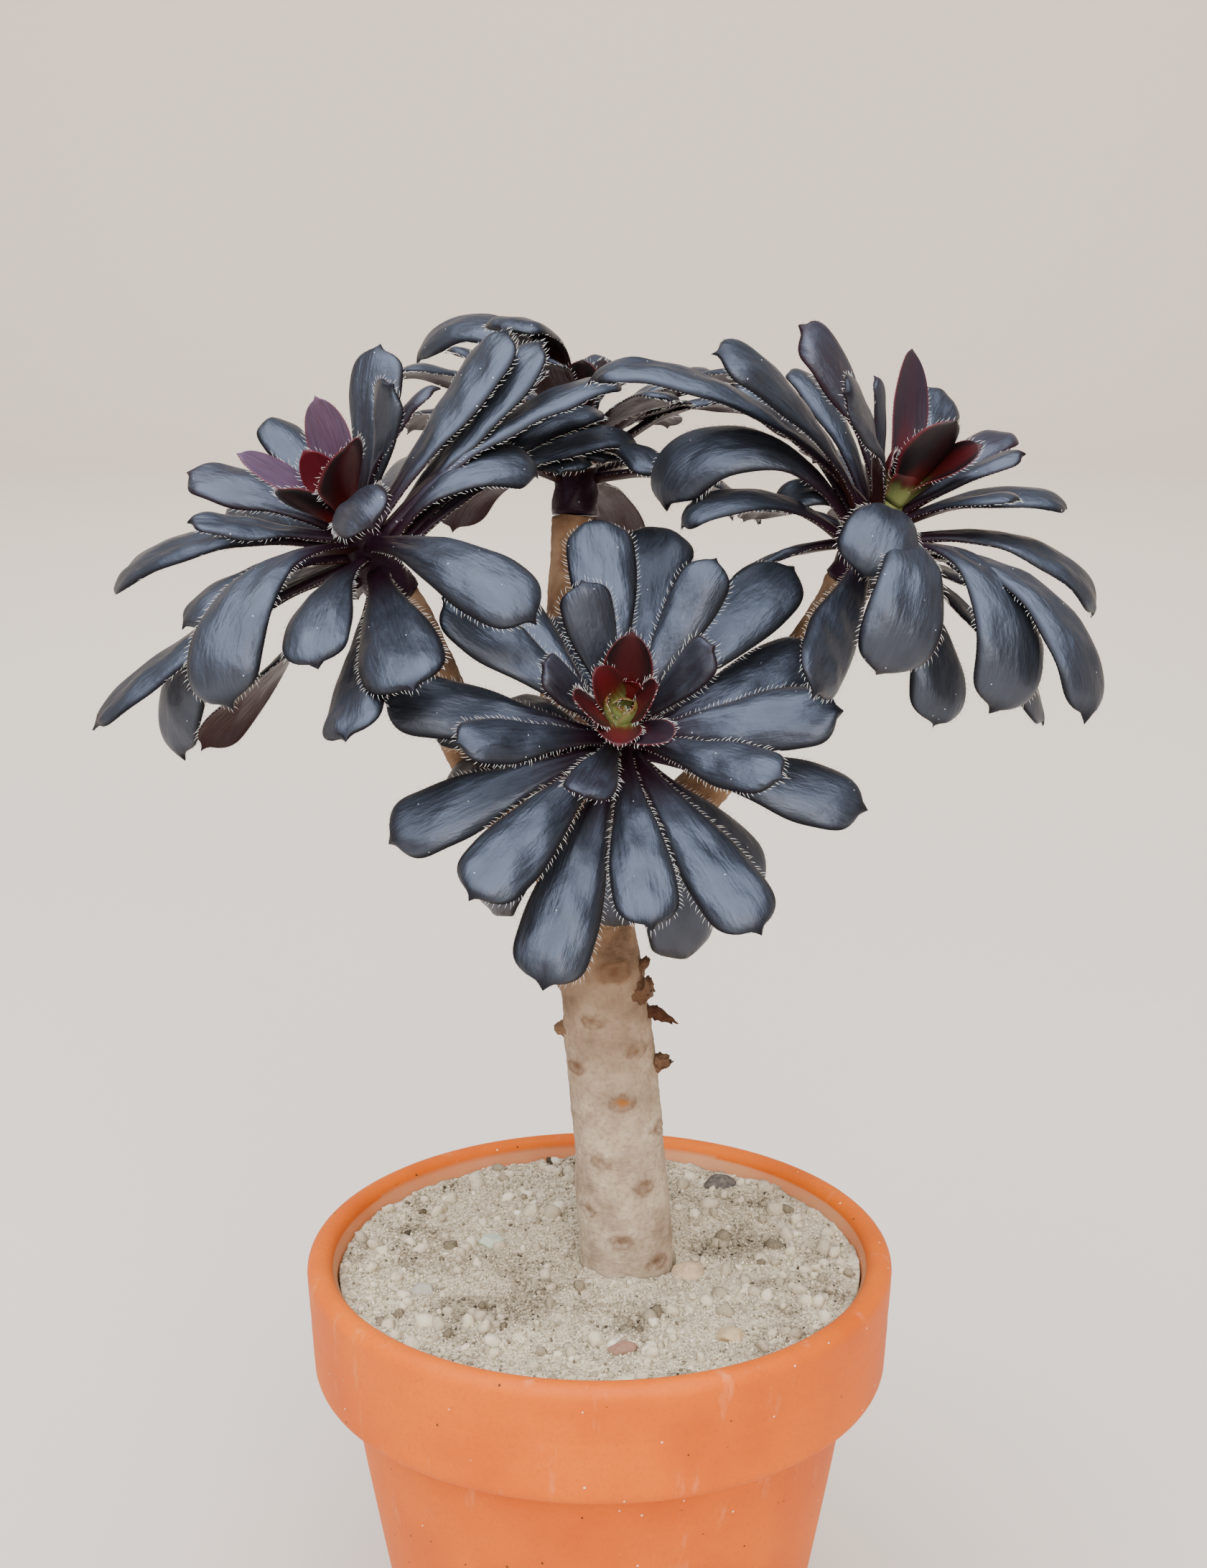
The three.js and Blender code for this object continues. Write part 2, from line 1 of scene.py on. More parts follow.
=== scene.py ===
# %% [markdown]
# # A potted aeonium
# A real aeonium is a bare woody stem that carries heads of fleshy leaves. This one has leaves so dark that
# they look black, with a red heart in each head, and it grows in a clay pot filled with sandy grit.
# The construction model is a fixed frame at real size, and every piece made here goes where that frame
# says. So the first step is to load it.

# %% Load the fixed frame
import math
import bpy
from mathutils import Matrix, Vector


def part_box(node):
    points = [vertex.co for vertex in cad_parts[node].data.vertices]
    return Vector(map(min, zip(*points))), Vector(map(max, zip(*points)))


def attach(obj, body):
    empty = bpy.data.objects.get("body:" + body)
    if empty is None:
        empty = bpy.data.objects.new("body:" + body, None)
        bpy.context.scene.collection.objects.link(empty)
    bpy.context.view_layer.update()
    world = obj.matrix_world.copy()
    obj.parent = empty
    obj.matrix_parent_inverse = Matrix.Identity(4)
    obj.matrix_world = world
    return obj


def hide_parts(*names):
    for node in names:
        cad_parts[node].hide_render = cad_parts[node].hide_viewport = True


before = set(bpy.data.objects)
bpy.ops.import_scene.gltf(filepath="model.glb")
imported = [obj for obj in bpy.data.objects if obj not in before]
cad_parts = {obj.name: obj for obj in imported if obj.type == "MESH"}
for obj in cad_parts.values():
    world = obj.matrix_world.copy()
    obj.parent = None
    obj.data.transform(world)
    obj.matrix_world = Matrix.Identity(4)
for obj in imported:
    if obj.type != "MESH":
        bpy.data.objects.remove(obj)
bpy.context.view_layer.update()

from types import SimpleNamespace

import bmesh
import bpy
import numpy as np
from mathutils import Vector, noise

print("nodes in the frame:", ", ".join(sorted(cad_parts)))

# %% [markdown]
# ## The camera
# A picture is easiest to match when the camera comes first. The rim of a round pot is a circle, so how
# flat its ellipse looks tells how far down the camera is pitched, and how fast the ellipses change from
# the rim to the collar's foot tells how near it stands. The sensor is fitted to the picture's height,
# because the picture is upright.

# %% The camera
MM = 0.001
CAMERA_PLACE = Vector((1.0, -518.4, 381.9)) * MM
CAMERA_PITCH_DOWN = math.radians(13.76)

camera = bpy.data.objects.new("camera", bpy.data.cameras.new("camera"))
camera.data.sensor_fit = "VERTICAL"
camera.data.sensor_height = 36
camera.data.lens = 50
camera.data.clip_start = 0.01
camera.location = CAMERA_PLACE
camera.rotation_euler = (math.pi / 2 - CAMERA_PITCH_DOWN, 0, 0)
bpy.context.scene.collection.objects.link(camera)
bpy.context.scene.camera = camera
print("camera looks down by", round(math.degrees(CAMERA_PITCH_DOWN), 2), "degrees")

# %% [markdown]
# ## Small helpers
# Three things repeat for every piece. A colour is given as an sRGB hex value, but a shader works
# with linear light, so one function turns the one into the other. A node tree is a list of nodes, each
# with settings and links, so one function adds any node. And a mesh is a list of points and faces with
# some values at each point, which a material can read back by name as an attribute. Attributes are a good
# way to give a material real measures, such as how far along its blade a point of a leaf lies.

# %% Colours, nodes and meshes
def linear(hex_colour):
    """An sRGB hex colour as the linear colour that a socket takes."""
    shares = [int(hex_colour[i:i + 2], 16) / 255 for i in (1, 3, 5)]
    return [*(c / 12.92 if c <= 0.04045 else ((c + 0.055) / 1.055) ** 2.4 for c in shares), 1.0]


def add(tree, kind, inputs=None, stops=None, **settings):
    """Adds a node. inputs gives each socket a value, or another node's output to link to it."""
    node = tree.nodes.new("ShaderNode" + kind)
    for name, value in settings.items():
        setattr(node, name, value)
    for socket, value in (inputs or {}).items():
        if isinstance(value, bpy.types.NodeSocket):
            tree.links.new(value, node.inputs[socket])
        else:
            node.inputs[socket].default_value = value
    if stops:
        elements = node.color_ramp.elements
        while len(elements) < len(stops):
            elements.new(1.0)
        for element, (place, colour) in zip(elements, stops):
            element.position = place
            element.color = linear(colour)
    return node


def new_material(name, constants):
    """A material whose constant values stand on the shader's own sockets."""
    material = bpy.data.materials.new(name)
    material.use_nodes = True
    tree = material.node_tree
    for socket, value in constants.items():
        tree.nodes["Principled BSDF"].inputs[socket].default_value = value
    return material, tree


def finished(material, outputs):
    """The material, with each output linked to the shader's socket of that name."""
    tree = material.node_tree
    for socket, output in outputs.items():
        tree.links.new(output, tree.nodes["Principled BSDF"].inputs[socket])
    return material


def new_piece(name, points, faces, material, values=None, replaced=None):
    """A smooth piece from points in millimetres. values are kept on its points, by name."""
    mesh = bpy.data.meshes.new(name)
    mesh.from_pydata((np.asarray(points) * MM).tolist(), [], faces)
    for key, numbers in (values or {}).items():
        numbers = np.asarray(numbers, np.float32)
        is_vector = numbers.ndim == 2
        layer = mesh.attributes.new(key, "FLOAT_VECTOR" if is_vector else "FLOAT", "POINT")
        layer.data.foreach_set("vector" if is_vector else "value", numbers.ravel())
    mesh.materials.append(material)
    mesh.shade_smooth()
    piece = bpy.data.objects.new(name, mesh)
    bpy.context.scene.collection.objects.link(piece)
    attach(piece, "root")
    if replaced:
        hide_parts(replaced)
    print(name, "has", sum(len(face) - 2 for face in faces), "triangles")
    return piece


def smooth_step(value, low, high):
    """0 below low, 1 above high, and a smooth rise between."""
    share = np.clip((value - low) / (high - low), 0, 1)
    return share * share * (3 - 2 * share)


def unit(vectors):
    return vectors / np.linalg.norm(vectors, axis=-1, keepdims=True)


print("terracotta orange in linear light:", [round(c, 3) for c in linear("#D9763F")[:3]])

# %% [markdown]
# ## How an aeonium's leaves are placed
# Each head grows one leaf after another from its tip, and each new leaf stands a golden angle, 137.5
# degrees, round from the last. That one rule makes the spirals of a rosette, so a loop over leaf numbers
# is the natural way to build it: number 0 is the youngest, and the angle, droop, length and width change
# slowly with the number. A real plant breaks its own rule a little, so some leaves get values of their
# own. Most of those were first solved by a separate program from points marked along the real leaf in a
# picture, and many were then changed. The others were set one by one.

# %% The heads and their leaves
GOLDEN_ANGLE = 137.508
# seen gives single leaves: number: [turned from its place, rise, droop, length, width, twist],
# in degrees and millimetres. The other lists are pairs of leaf number and value, read between.
HEADS = [
    {
        "name": "front", "tip": [5, -50, 281.7], "lean": 48, "toward": 3, "hand": 1, "phase": 180,
        "count": 36, "heart": [0, 1, 2, 3, 4, 5],
        "rise": [[0, 85], [3, 74], [6, 58], [9, 44], [12, 30], [16, 16], [22, 4], [30, -16], [37, -40]],
        "droop": [[0, -10], [6, -2], [14, 10], [24, 18], [37, 24]],
        "length": [[0, 6], [2, 12], [4, 20], [6, 26], [9, 33], [12, 42], [16, 51], [24, 55], [37, 50]],
        "width": [[0, 6], [4, 10], [8, 11], [12, 13], [16, 15.5], [22, 16.5], [37, 15]],
        "seen": {
            0: [8, 45, 5, 18, 10], 1: [-7, 70, 20, 16, 9], 2: [6, 68, -12, 19, 9, -8],
            3: [9, 60, -8, 25, 9, 12], 4: [0, 66, -5, 23, 11], 5: [0, 48, 0, 22, 10],
            6: [0, 56, 0, 26, 10], 7: [9, 54, -10, 30, 10, -10], 8: [0, 36, 0, 30, 11],
            9: [4, 44, 0, 32, 12], 10: [12, 34, 4, 43, 13], 11: [-3, 34, 6, 41, 12],
            12: [2, 30, 8, 42, 12], 13: [8, 18, 8, 51, 14], 15: [8, 20, 12, 46, 16],
            16: [-2, 16, 12, 52, 16], 17: [-2, 15, 12, 52, 16], 18: [16, 12, 12, 54, 16],
            19: [8, 11, 14, 50, 16], 20: [-7, 9, 14, 58, 17], 21: [10, 4, 14, 57, 17],
            23: [3, 4, 16, 53, 16], 24: [8, 2, 16, 52, 16], 25: [-6, 2, 16, 63, 18],
            26: [3, -20, 50, 50, 16], 27: [0, -14, 20, 44, 15], 28: [-10, 3, 18, 53, 16],
            29: [26, -26, 58, 52, 15, 6], 31: [0, -28, 20, 44, 15], 32: [20, -29, 20, 46, 15, -10],
            34: [5, -46, 20, 40, 14], 35: [0, -24, 20, 38, 13],
        },
    },
    {
        "name": "left", "tip": [-57.6, -25, 323.7], "lean": 33, "toward": -55, "hand": -1, "phase": 140,
        "count": 35, "heart": [0, 1, 2, 3, 4, 5],
        "rise": [[0, 85], [4, 70], [8, 48], [12, 42], [16, 28], [22, 16], [30, -6], [37, -24]],
        "droop": [[0, -10], [8, 8], [14, 25], [24, 40], [37, 30]],
        "length": [[0, 8], [2, 16], [5, 24], [8, 34], [12, 42], [18, 56], [24, 62], [37, 58]],
        "width": [[0, 6], [4, 10], [8, 12], [12, 14], [18, 15.5], [37, 15]],
        "seen": {
            1: [-12, 60, -30, 28, 12, -35], 2: [-6, 66, 6, 28, 10, 18], 3: [0, 50, 8, 31, 14],
            4: [-10, 88, -20, 20, 9], 5: [-15, 58, -5, 21, 12], 6: [12, 52, 37, 42, 9],
            7: [-15, 47, 19, 40, 14], 8: [-15, 48, 69, 40, 14, -20], 9: [6, 49, 10, 41, 14, -25],
            10: [7, 38, -5, 35, 12], 11: [-20, 54, 0, 38, 12, -50], 12: [-3, 48, 24, 39, 12, -35],
            13: [6, 36, 100, 64, 17, 30], 14: [-15, 18, 0, 58, 16, -10], 15: [-7, 32, 58, 65, 15],
            16: [-12, 7, 56, 59, 17], 17: [0, 5, 30, 48, 15], 18: [7, 33, 50, 43, 14, 5],
            19: [-39, 12, 40, 73, 15], 21: [6, 20, 46, 45, 15, 22], 22: [9, 16, 0, 61, 16, -15],
            23: [-12, 9, 27, 72, 15], 24: [-63, 24, 86, 44, 15, -35], 25: [0, -8, 30, 36, 15],
            26: [46, 14, 90, 72, 15, 50], 27: [-35, 12, 10, 64, 14], 29: [6, 2, 20, 51, 19, 12],
            30: [22, 8, 38, 72, 15, -10], 31: [-3, -13, -2, 53, 15, -70],
            32: [-56, 6, 48, 74, 14, -20], 34: [-10, -5, -5, 56, 15],
        },
    },
    {
        "name": "right", "tip": [68.1, -15, 327.1], "lean": 27, "toward": 60, "hand": 1, "phase": 128,
        "count": 35, "heart": [0, 1, 2, 3, 6],
        "rise": [[0, 85], [4, 70], [8, 50], [12, 40], [16, 30], [22, 16], [30, -4], [37, -24]],
        "droop": [[0, -10], [8, 8], [14, 30], [24, 50], [37, 30]],
        "length": [[0, 8], [2, 16], [5, 26], [8, 34], [12, 44], [18, 56], [24, 60], [37, 56]],
        "width": [[0, 6], [4, 10], [8, 12], [12, 13], [18, 15], [37, 14]],
        "seen": {
            2: [0, 58, 20, 37, 11, -18], 3: [-13, 66, 7, 24, 10, -50], 4: [17, 58, 39, 47, 13, 42],
            5: [6, 46, 30, 41, 12, 20], 6: [-28, 80, 0, 25, 14], 7: [-21, 69, 9, 30, 8],
            8: [-3, 59, 17, 32, 9], 9: [2, 57, 38, 43, 14, 50], 10: [8, 48, 25, 40, 14, -10],
            11: [-28, 50, 20, 30, 11], 12: [-6, 25, 58, 78, 14, 6], 13: [24, 46, 47, 43, 12],
            14: [-4, 42, 133, 38, 18], 15: [-12, 37, 35, 45, 12], 16: [-10, 2, 57, 52, 12, -30],
            17: [9, 43, 37, 60, 14, 30], 19: [13, 30, 142, 59, 18], 20: [-13, 36, 35, 45, 12],
            21: [15, 33, 74, 57, 14, -15], 22: [66, 34, 130, 24, 14, 24],
            24: [16, 37, 137, 68, 17, -22], 25: [2, 39, 150, 63, 18, 42],
            26: [32, -17, 22, 70, 14, -26], 27: [8, -13, 0, 60, 15, 45], 28: [0, -8, 40, 37, 13],
            29: [38, 38, 104, 76, 16, -8], 30: [27, 20, 90, 46, 13], 31: [-7, 5, 54, 49, 13],
            32: [-9, -2, 78, 45, 15, -22], 33: [0, -35, 50, 36, 13], 34: [-4, 3, 44, 66, 12],
        },
    },
    {
        "name": "back", "tip": [-5.4, 38, 339.4], "lean": 12, "toward": 170, "hand": 1, "phase": 20,
        "count": 31, "heart": [0, 1, 2, 3, 4, 5],
        "rise": [[0, 85], [4, 72], [8, 60], [12, 50], [18, 38], [24, 24], [30, 8], [37, -10]],
        "droop": [[0, -10], [8, 20], [14, 50], [24, 75], [37, 70]],
        "length": [[0, 8], [2, 14], [5, 24], [8, 34], [12, 44], [18, 54], [24, 58], [37, 54]],
        "width": [[0, 6], [4, 10], [8, 12], [12, 14], [18, 16], [37, 15]],
        "seen": {
            5: [0, 50, 0, 20, 10], 7: [0, 30, 20, 28, 10], 10: [0, 25, 30, 38, 12],
            13: [0, 51, 30, 30, 12], 18: [0, 15, 60, 24, 14], 20: [0, 45, 95, 62, 13],
            21: [-4, 92, 130, 53, 16, 15], 23: [20, 15, 60, 44, 14], 24: [27, 88, 150, 74, 16, 50],
            26: [0, 10, 40, 34, 14], 28: [0, 10, 60, 46, 14], 29: [0, 14, 60, 40, 14],
        },
    },
]
# Older leaves spring from lower down the head's short core and a little further out.
LEAF_SINK = [[0, 0], [6, 3], [37, 18]]
LEAF_ROOT = [[0, 0.5], [6, 3], [20, 5], [37, 6]]
DARK_LEAST = SimpleNamespace(sink=4, root=3)
HEART_MOST = SimpleNamespace(sink=1.6, root=2)
UP = np.array([0.0, 0.0, 1.0])


def between(pairs, number):
    keys, values = zip(*pairs)
    return float(np.interp(number, keys, values))


def turned(first, second, angle):
    """A direction turned by an angle from the first towards the second."""
    return np.multiply.outer(np.cos(angle), first) + np.multiply.outer(np.sin(angle), second)


def place_head(head):
    """Adds the head's axis and two directions across it. Heading 0 is -Y, and 90 is +X."""
    lean, toward = np.radians([head["lean"], head["toward"]])
    axis = turned(UP, turned(np.array([0.0, -1, 0]), np.array([1.0, 0, 0]), toward), lean)
    uphill = unit(UP - axis * axis[2])
    return SimpleNamespace(**head, axis=axis, uphill=uphill, side=np.cross(uphill, axis))


def leaves_of(head):
    """One record for each leaf of a head, from the youngest outwards."""
    leaves = []
    for number in range(head.count):
        usual = [0] + [between(getattr(head, key), number) for key in ("rise", "droop", "length", "width")]
        shift, rise, droop, length, width, twist = (head.seen.get(number, usual) + [0])[:6]
        is_heart = number in head.heart
        sink, root = between(LEAF_SINK, number), between(LEAF_ROOT, number)
        leaves.append(SimpleNamespace(
            number=number, is_heart=is_heart, rise=rise, droop=droop, length=length, width=width,
            twist=twist, turn=head.phase + head.hand * GOLDEN_ANGLE * number + shift,
            sink=min(sink, HEART_MOST.sink) if is_heart else max(sink, DARK_LEAST.sink),
            root=min(root, HEART_MOST.root) if is_heart else max(root, DARK_LEAST.root)))
    return leaves


heads = [place_head(head) for head in HEADS]
print("leaves on each head:", {head.name: head.count for head in heads})

# %% [markdown]
# ## One leaf blade
# A leaf of this plant is a spoon: a narrow claw at the stem, widest at three quarters of its length, and
# a blunt round end with a tiny point. It is fleshy, so its face is crowned and its margins and tip roll
# down, and that is what gives every leaf a broad soft highlight inside a dark edge. A flat card with a
# bump map would catch the light as one plane. So each blade is a tube of rings: the ring's points run
# along the top from one margin to the other and back underneath, and the rings follow the blade's
# arching middle line. Low waves 4 to 15 mm wide break up the highlight, as the veins do.

# %% Leaf blades
RINGS = 40
RING_POINTS = 28
# The tiny point starts at point_start, and its half width there is a share of the blade's. channel is how
# deep the claw is folded, and uneven is how much wider one side may be.
BLADE = SimpleNamespace(bend=1.6, end=0.97, point_start=0.93, point_half=(0.25, 0.5), roll_start=0.8,
                        channel=0.22, uneven=0.06, lens=1.1)
# A squarer end has a higher square. cup lifts the margins, or rolls them down where it is negative, as a
# share of the half width. tip_roll is how far the tip bends down, in degrees.
DARK_BLADE = SimpleNamespace(claw=0.3, widest=0.77, square=(3.0, 5.0), cup=-0.22, power=3.4,
                             thickness=(2.6, 1.3), buried=2.8, tip_roll=(14, 46), waved=1)
HEART_BLADE = SimpleNamespace(claw=0.42, widest=0.6, square=(1.7, 2.1), cup=0.26, power=2.4,
                              thickness=(2.2, 1.0), buried=1.2, tip_roll=(-8, 8), waved=0)
BUD_SCALE = SimpleNamespace(claw=0.8, widest=0.5, square=(2.2, 3), cup=0.5, power=2.2,
                            thickness=(1.0, 0.6), buried=1.0, tip_roll=(-8, 8), waved=0)
# Waves on a blade's face: millimetres across and along for one wave, and height.
WAVES = [(6.5, 46, 0.13), (4.4, -24, 0.07), (15, 12, 0.15), (9, -9, 0.07)]
# The margins curl up and down along the blade, once in so many millimetres and by so much.
CURL = SimpleNamespace(length=17, height=(0.1, 0.4))


def blade_outline(t, kind, square, point_half):
    """Half width of a blade as a share of its widest, with a tiny point at its end."""
    body = np.clip(t / BLADE.end, 0, 1)
    rounding = np.clip((body - kind.widest) / (1 - kind.widest), 0, 1)
    growing = kind.claw + (1 - kind.claw) * smooth_step(body, 0.05, kind.widest) ** 1.15
    blunt = growing * np.sqrt(1 - rounding ** square)
    point = point_half * np.clip((1 - t) / (1 - BLADE.point_start), 0, 1)
    return np.where(t > BLADE.point_start, np.maximum(blunt, point), blunt)


def blade_frame(head, leaf, kind, tip_roll):
    """The middle line of a blade, with the directions along, across and up from it, for each ring."""
    t = 1 - (1 - np.linspace(0, 1, RINGS)) ** 1.5
    radial = turned(head.uphill, head.side, np.radians(leaf.turn))
    across = np.cross(radial, head.axis)

    def slope(share):
        rolled = tip_roll * np.clip((share - BLADE.roll_start) / (1 - BLADE.roll_start), 0, 1) ** 1.5
        return np.radians(leaf.rise - leaf.droop * share ** BLADE.bend - rolled)

    steps = turned(radial, head.axis, slope((t[1:] + t[:-1]) / 2)) * (leaf.length * np.diff(t))[:, None]
    foot = np.array(head.tip) - head.axis * leaf.sink + radial * leaf.root
    line = foot + np.vstack([np.zeros(3), np.cumsum(steps, axis=0)])
    along = turned(radial, head.axis, slope(t))
    line[0] -= along[0] * kind.buried
    upward = np.cross(across, along)
    twist = np.radians(leaf.twist) * t[:, None]
    sideways = across * np.cos(twist) - np.cross(along, across) * np.sin(twist)
    return t, line, along, sideways, np.cross(sideways, along)


def blade_waves(across_mm, along_mm, draw):
    """The low waves of a blade's face."""
    height = np.zeros(np.broadcast(across_mm, along_mm).shape)
    for across, along, size in WAVES:
        turns = across_mm / across + along_mm / along + draw.uniform(0, 1)
        height += size * draw.uniform(0.4, 1.5) * np.sin(2 * math.pi * turns)
    return height


def blade_shape(head, leaf, kind, draw):
    """Points of one blade ring by ring, its values, and its two margins."""
    t, line, along, sideways, upward = blade_frame(head, leaf, kind, draw.uniform(*kind.tip_roll))
    angle = 2 * math.pi * np.arange(RING_POINTS) / RING_POINTS
    s, lens = np.cos(angle), np.sin(angle)
    half = leaf.width / 2 * blade_outline(t, kind, draw.uniform(*kind.square),
                                          draw.uniform(*BLADE.point_half))
    thickness = np.interp(t, [0, 1], kind.thickness) / 2 * smooth_step(1.02 - t, 0, 0.07)
    uneven = 1 + draw.uniform(-BLADE.uneven, BLADE.uneven) * s
    along_mm = (t * leaf.length)[:, None]
    waves = blade_waves(half[:, None] * s, along_mm, draw) * (1 - np.abs(s) ** 4)
    curl_height = draw.uniform(*CURL.height)
    curl = curl_height * np.sin(2 * math.pi * (along_mm / CURL.length + draw.uniform(0, 1))) * s ** 3
    grown = kind.waved * smooth_step(t, 0.1, 0.4)[:, None]
    channel = BLADE.channel * half[:, None] * np.abs(s) * (1 - smooth_step(t, 0.15, 0.7))[:, None]
    cup = kind.cup * draw.uniform(0.7, 1.3) * half[:, None] * np.abs(s) ** kind.power
    fleshy = thickness[:, None] * np.sign(lens) * np.abs(lens) ** BLADE.lens
    lift = cup + channel + (waves + curl) * grown + fleshy
    points = (line[:, None] + sideways[:, None] * (half[:, None] * s * uneven)[..., None]
              + upward[:, None] * lift[..., None])
    seed = draw.uniform(0, 100)
    blade_mm = np.stack(np.broadcast_arrays(half[:, None] * s, along_mm, seed), axis=-1)
    values = {
        "along": np.broadcast_to(t[:, None], lift.shape),
        "edge": np.broadcast_to(np.abs(s), lift.shape),
        "under": np.broadcast_to(lens < -0.02, lift.shape),
        "youth": np.full(lift.shape, 1 - min(leaf.number / 14, 1)),
        "chance": np.full(lift.shape, seed / 100),
        "blade_mm": blade_mm,
    }
    middle = RING_POINTS // 2
    margins = [(points[:, side], along, sideways * sign, upward) for side, sign in ((0, 1), (middle, -1))]
    return points, values, margins


def between_rings(count, ring, following):
    """Four-sided faces from one ring of points to the next, by the numbers of their first points."""
    return [(ring + i, ring + (i + 1) % count, following + (i + 1) % count, following + i)
            for i in range(count)]


def tube_faces(rings, count, first=0):
    """Faces of a tube of rings with a flat cap at each end."""
    starts = [first + ring * count for ring in range(rings)]
    faces = [face for pair in zip(starts, starts[1:]) for face in between_rings(count, *pair)]
    return faces + [tuple(range(first, first + count))[::-1], tuple(range(starts[-1], starts[-1] + count))]


draw = np.random.default_rng(7)
sample = blade_shape(heads[0], leaves_of(heads[0])[20], DARK_BLADE, draw)[0]
print("a blade has", sample.shape[0], "rings of", sample.shape[1], "points")

# %% [markdown]
# ## The leaves' skin
# The living surface is a smooth waxy cuticle with an index of refraction near 1.5, and on the blade's
# face lies a bloom of fine wax that mirrors the sky softly and a little blue. The dark pigment takes
# nearly all of the light that enters. So the colour is almost black, the roughness is in the middle, and
# the strength of the reflection follows the bloom, which lies in streaks and is rubbed off the rolled
# margins, the tip, the shaded claw and the underside. There the leaf is darker, which is partly the bare
# cuticle and partly painted shade. Where the bloom lies, the colour is lifted to a blue grey, which is
# partly the wax's own scatter and partly a painted sheen. Near the claw the pigment thins to wine brown,
# as it does underneath. The streaks run with the cells, drawn coarser than real at 0.5 mm apart, and dust
# lies in specks of 0.3 mm.

# %% Dark leaf skin
def leaf_streaks(tree, across_mm, along_mm):
    """Streaks that run with a blade: noise stretched to real spacings across and along it."""
    place = add(tree, "Attribute", attribute_name="blade_mm").outputs["Vector"]
    stretched = add(tree, "VectorMath", {0: place, 1: (1 / across_mm, 1 / along_mm, 1)},
                    operation="MULTIPLY").outputs[0]
    return add(tree, "TexNoise", {"Vector": stretched, "Scale": 1, "Detail": 3}).outputs["Fac"]


def blade_value(tree, name, low, high, first=0.0, last=1.0):
    """A value kept on the blade's points, read as a smooth rise from low to high."""
    value = add(tree, "Attribute", attribute_name=name).outputs["Fac"]
    return add(tree, "MapRange", {"Value": value, "From Min": low, "From Max": high, "To Min": first,
                                  "To Max": last}, interpolation_type="SMOOTHSTEP").outputs[0]


def layered(tree, ground, *coats):
    """A ground colour under coats of a share and a colour, each a hex colour or another node's output."""
    for share, coat in coats:
        below, above = (linear(c) if isinstance(c, str) else c for c in (ground, coat))
        ground = add(tree, "Mix", {0: share, 6: below, 7: above}, data_type="RGBA").outputs[2]
    return ground


def times(tree, *shares):
    """Values multiplied with each other."""
    product = shares[0]
    for share in shares[1:]:
        product = add(tree, "Math", {0: product, 1: share}, operation="MULTIPLY").outputs[0]
    return product


def dust_on_leaves(tree):
    """1 in a few round specks of dust on the upper faces."""
    place = add(tree, "Attribute", attribute_name="blade_mm").outputs["Vector"]
    specks = add(tree, "TexVoronoi", {"Vector": place, "Scale": 0.42})
    small = add(tree, "Math", {0: specks.outputs["Distance"], 1: 0.06}, operation="LESS_THAN").outputs[0]
    pick = add(tree, "SeparateColor", {0: specks.outputs["Color"]}).outputs[0]
    kept = add(tree, "Math", {0: pick, 1: 0.7}, operation="GREATER_THAN").outputs[0]
    return times(tree, small, kept, blade_value(tree, "under", 0, 1, 1, 0))


def dark_leaf_skin():
    material, tree = new_material("aeonium_leaf_waxy_cuticle", {
        "IOR": 1.5, "Specular Tint": linear("#C6D5F2"), "Coat Weight": 0.12, "Coat Roughness": 0.35,
        "Coat IOR": 1.45})
    streak = leaf_streaks(tree, 0.5, 7)
    patch = add(tree, "MapRange", {"Value": leaf_streaks(tree, 5, 12), "From Min": 0.35, "From Max": 0.6,
                                   "To Min": 0.8}).outputs[0]
    # The bloom mask falls off at the margins, the tip, the claw and underneath: partly worn wax, partly
    # painted shade.
    bloom = times(tree, blade_value(tree, "edge", 0.82, 0.99, 1, 0), blade_value(tree, "along", 0.1, 0.42),
                  blade_value(tree, "along", 0.91, 0.985, 1, 0.1), blade_value(tree, "under", 0, 1, 1, 0.3),
                  patch)
    blue = add(tree, "MapRange", {"Value": streak, "From Min": 0.3, "From Max": 0.75, "To Min": 0.25})
    colour = layered(
        tree, "#22101A",
        (blade_value(tree, "along", 0.1, 0.5), "#0D0B0F"),
        (blade_value(tree, "youth", 0.2, 0.9), "#240E16"),
        # The blue-grey coat where the bloom lies is partly the wax's own scatter and partly a painted sheen.
        (times(tree, bloom, blue.outputs[0]), "#1E232A"),
        (blade_value(tree, "under", 0, 1), "#2A1513"),
        (dust_on_leaves(tree), "#B9BAC0"))
    level = add(tree, "MapRange", {"Value": bloom, "To Min": 0.1, "To Max": 1.0}).outputs[0]
    rough = add(tree, "MapRange", {"Value": streak, "From Min": 0.3, "From Max": 0.7, "To Min": 0.4,
                                   "To Max": 0.5}).outputs[0]
    veins = add(tree, "Math", {0: leaf_streaks(tree, 1.5, 3.6), 1: 3.5, 2: streak},
                operation="MULTIPLY_ADD").outputs[0]
    bump = add(tree, "Bump", {"Height": veins, "Strength": 0.32, "Distance": 0.28 * MM}).outputs[0]
    return finished(material, {"Base Color": colour, "Specular IOR Level": level, "Roughness": rough,
                               "Normal": bump})


DARK_LEAF = dark_leaf_skin()
print("made", DARK_LEAF.name)
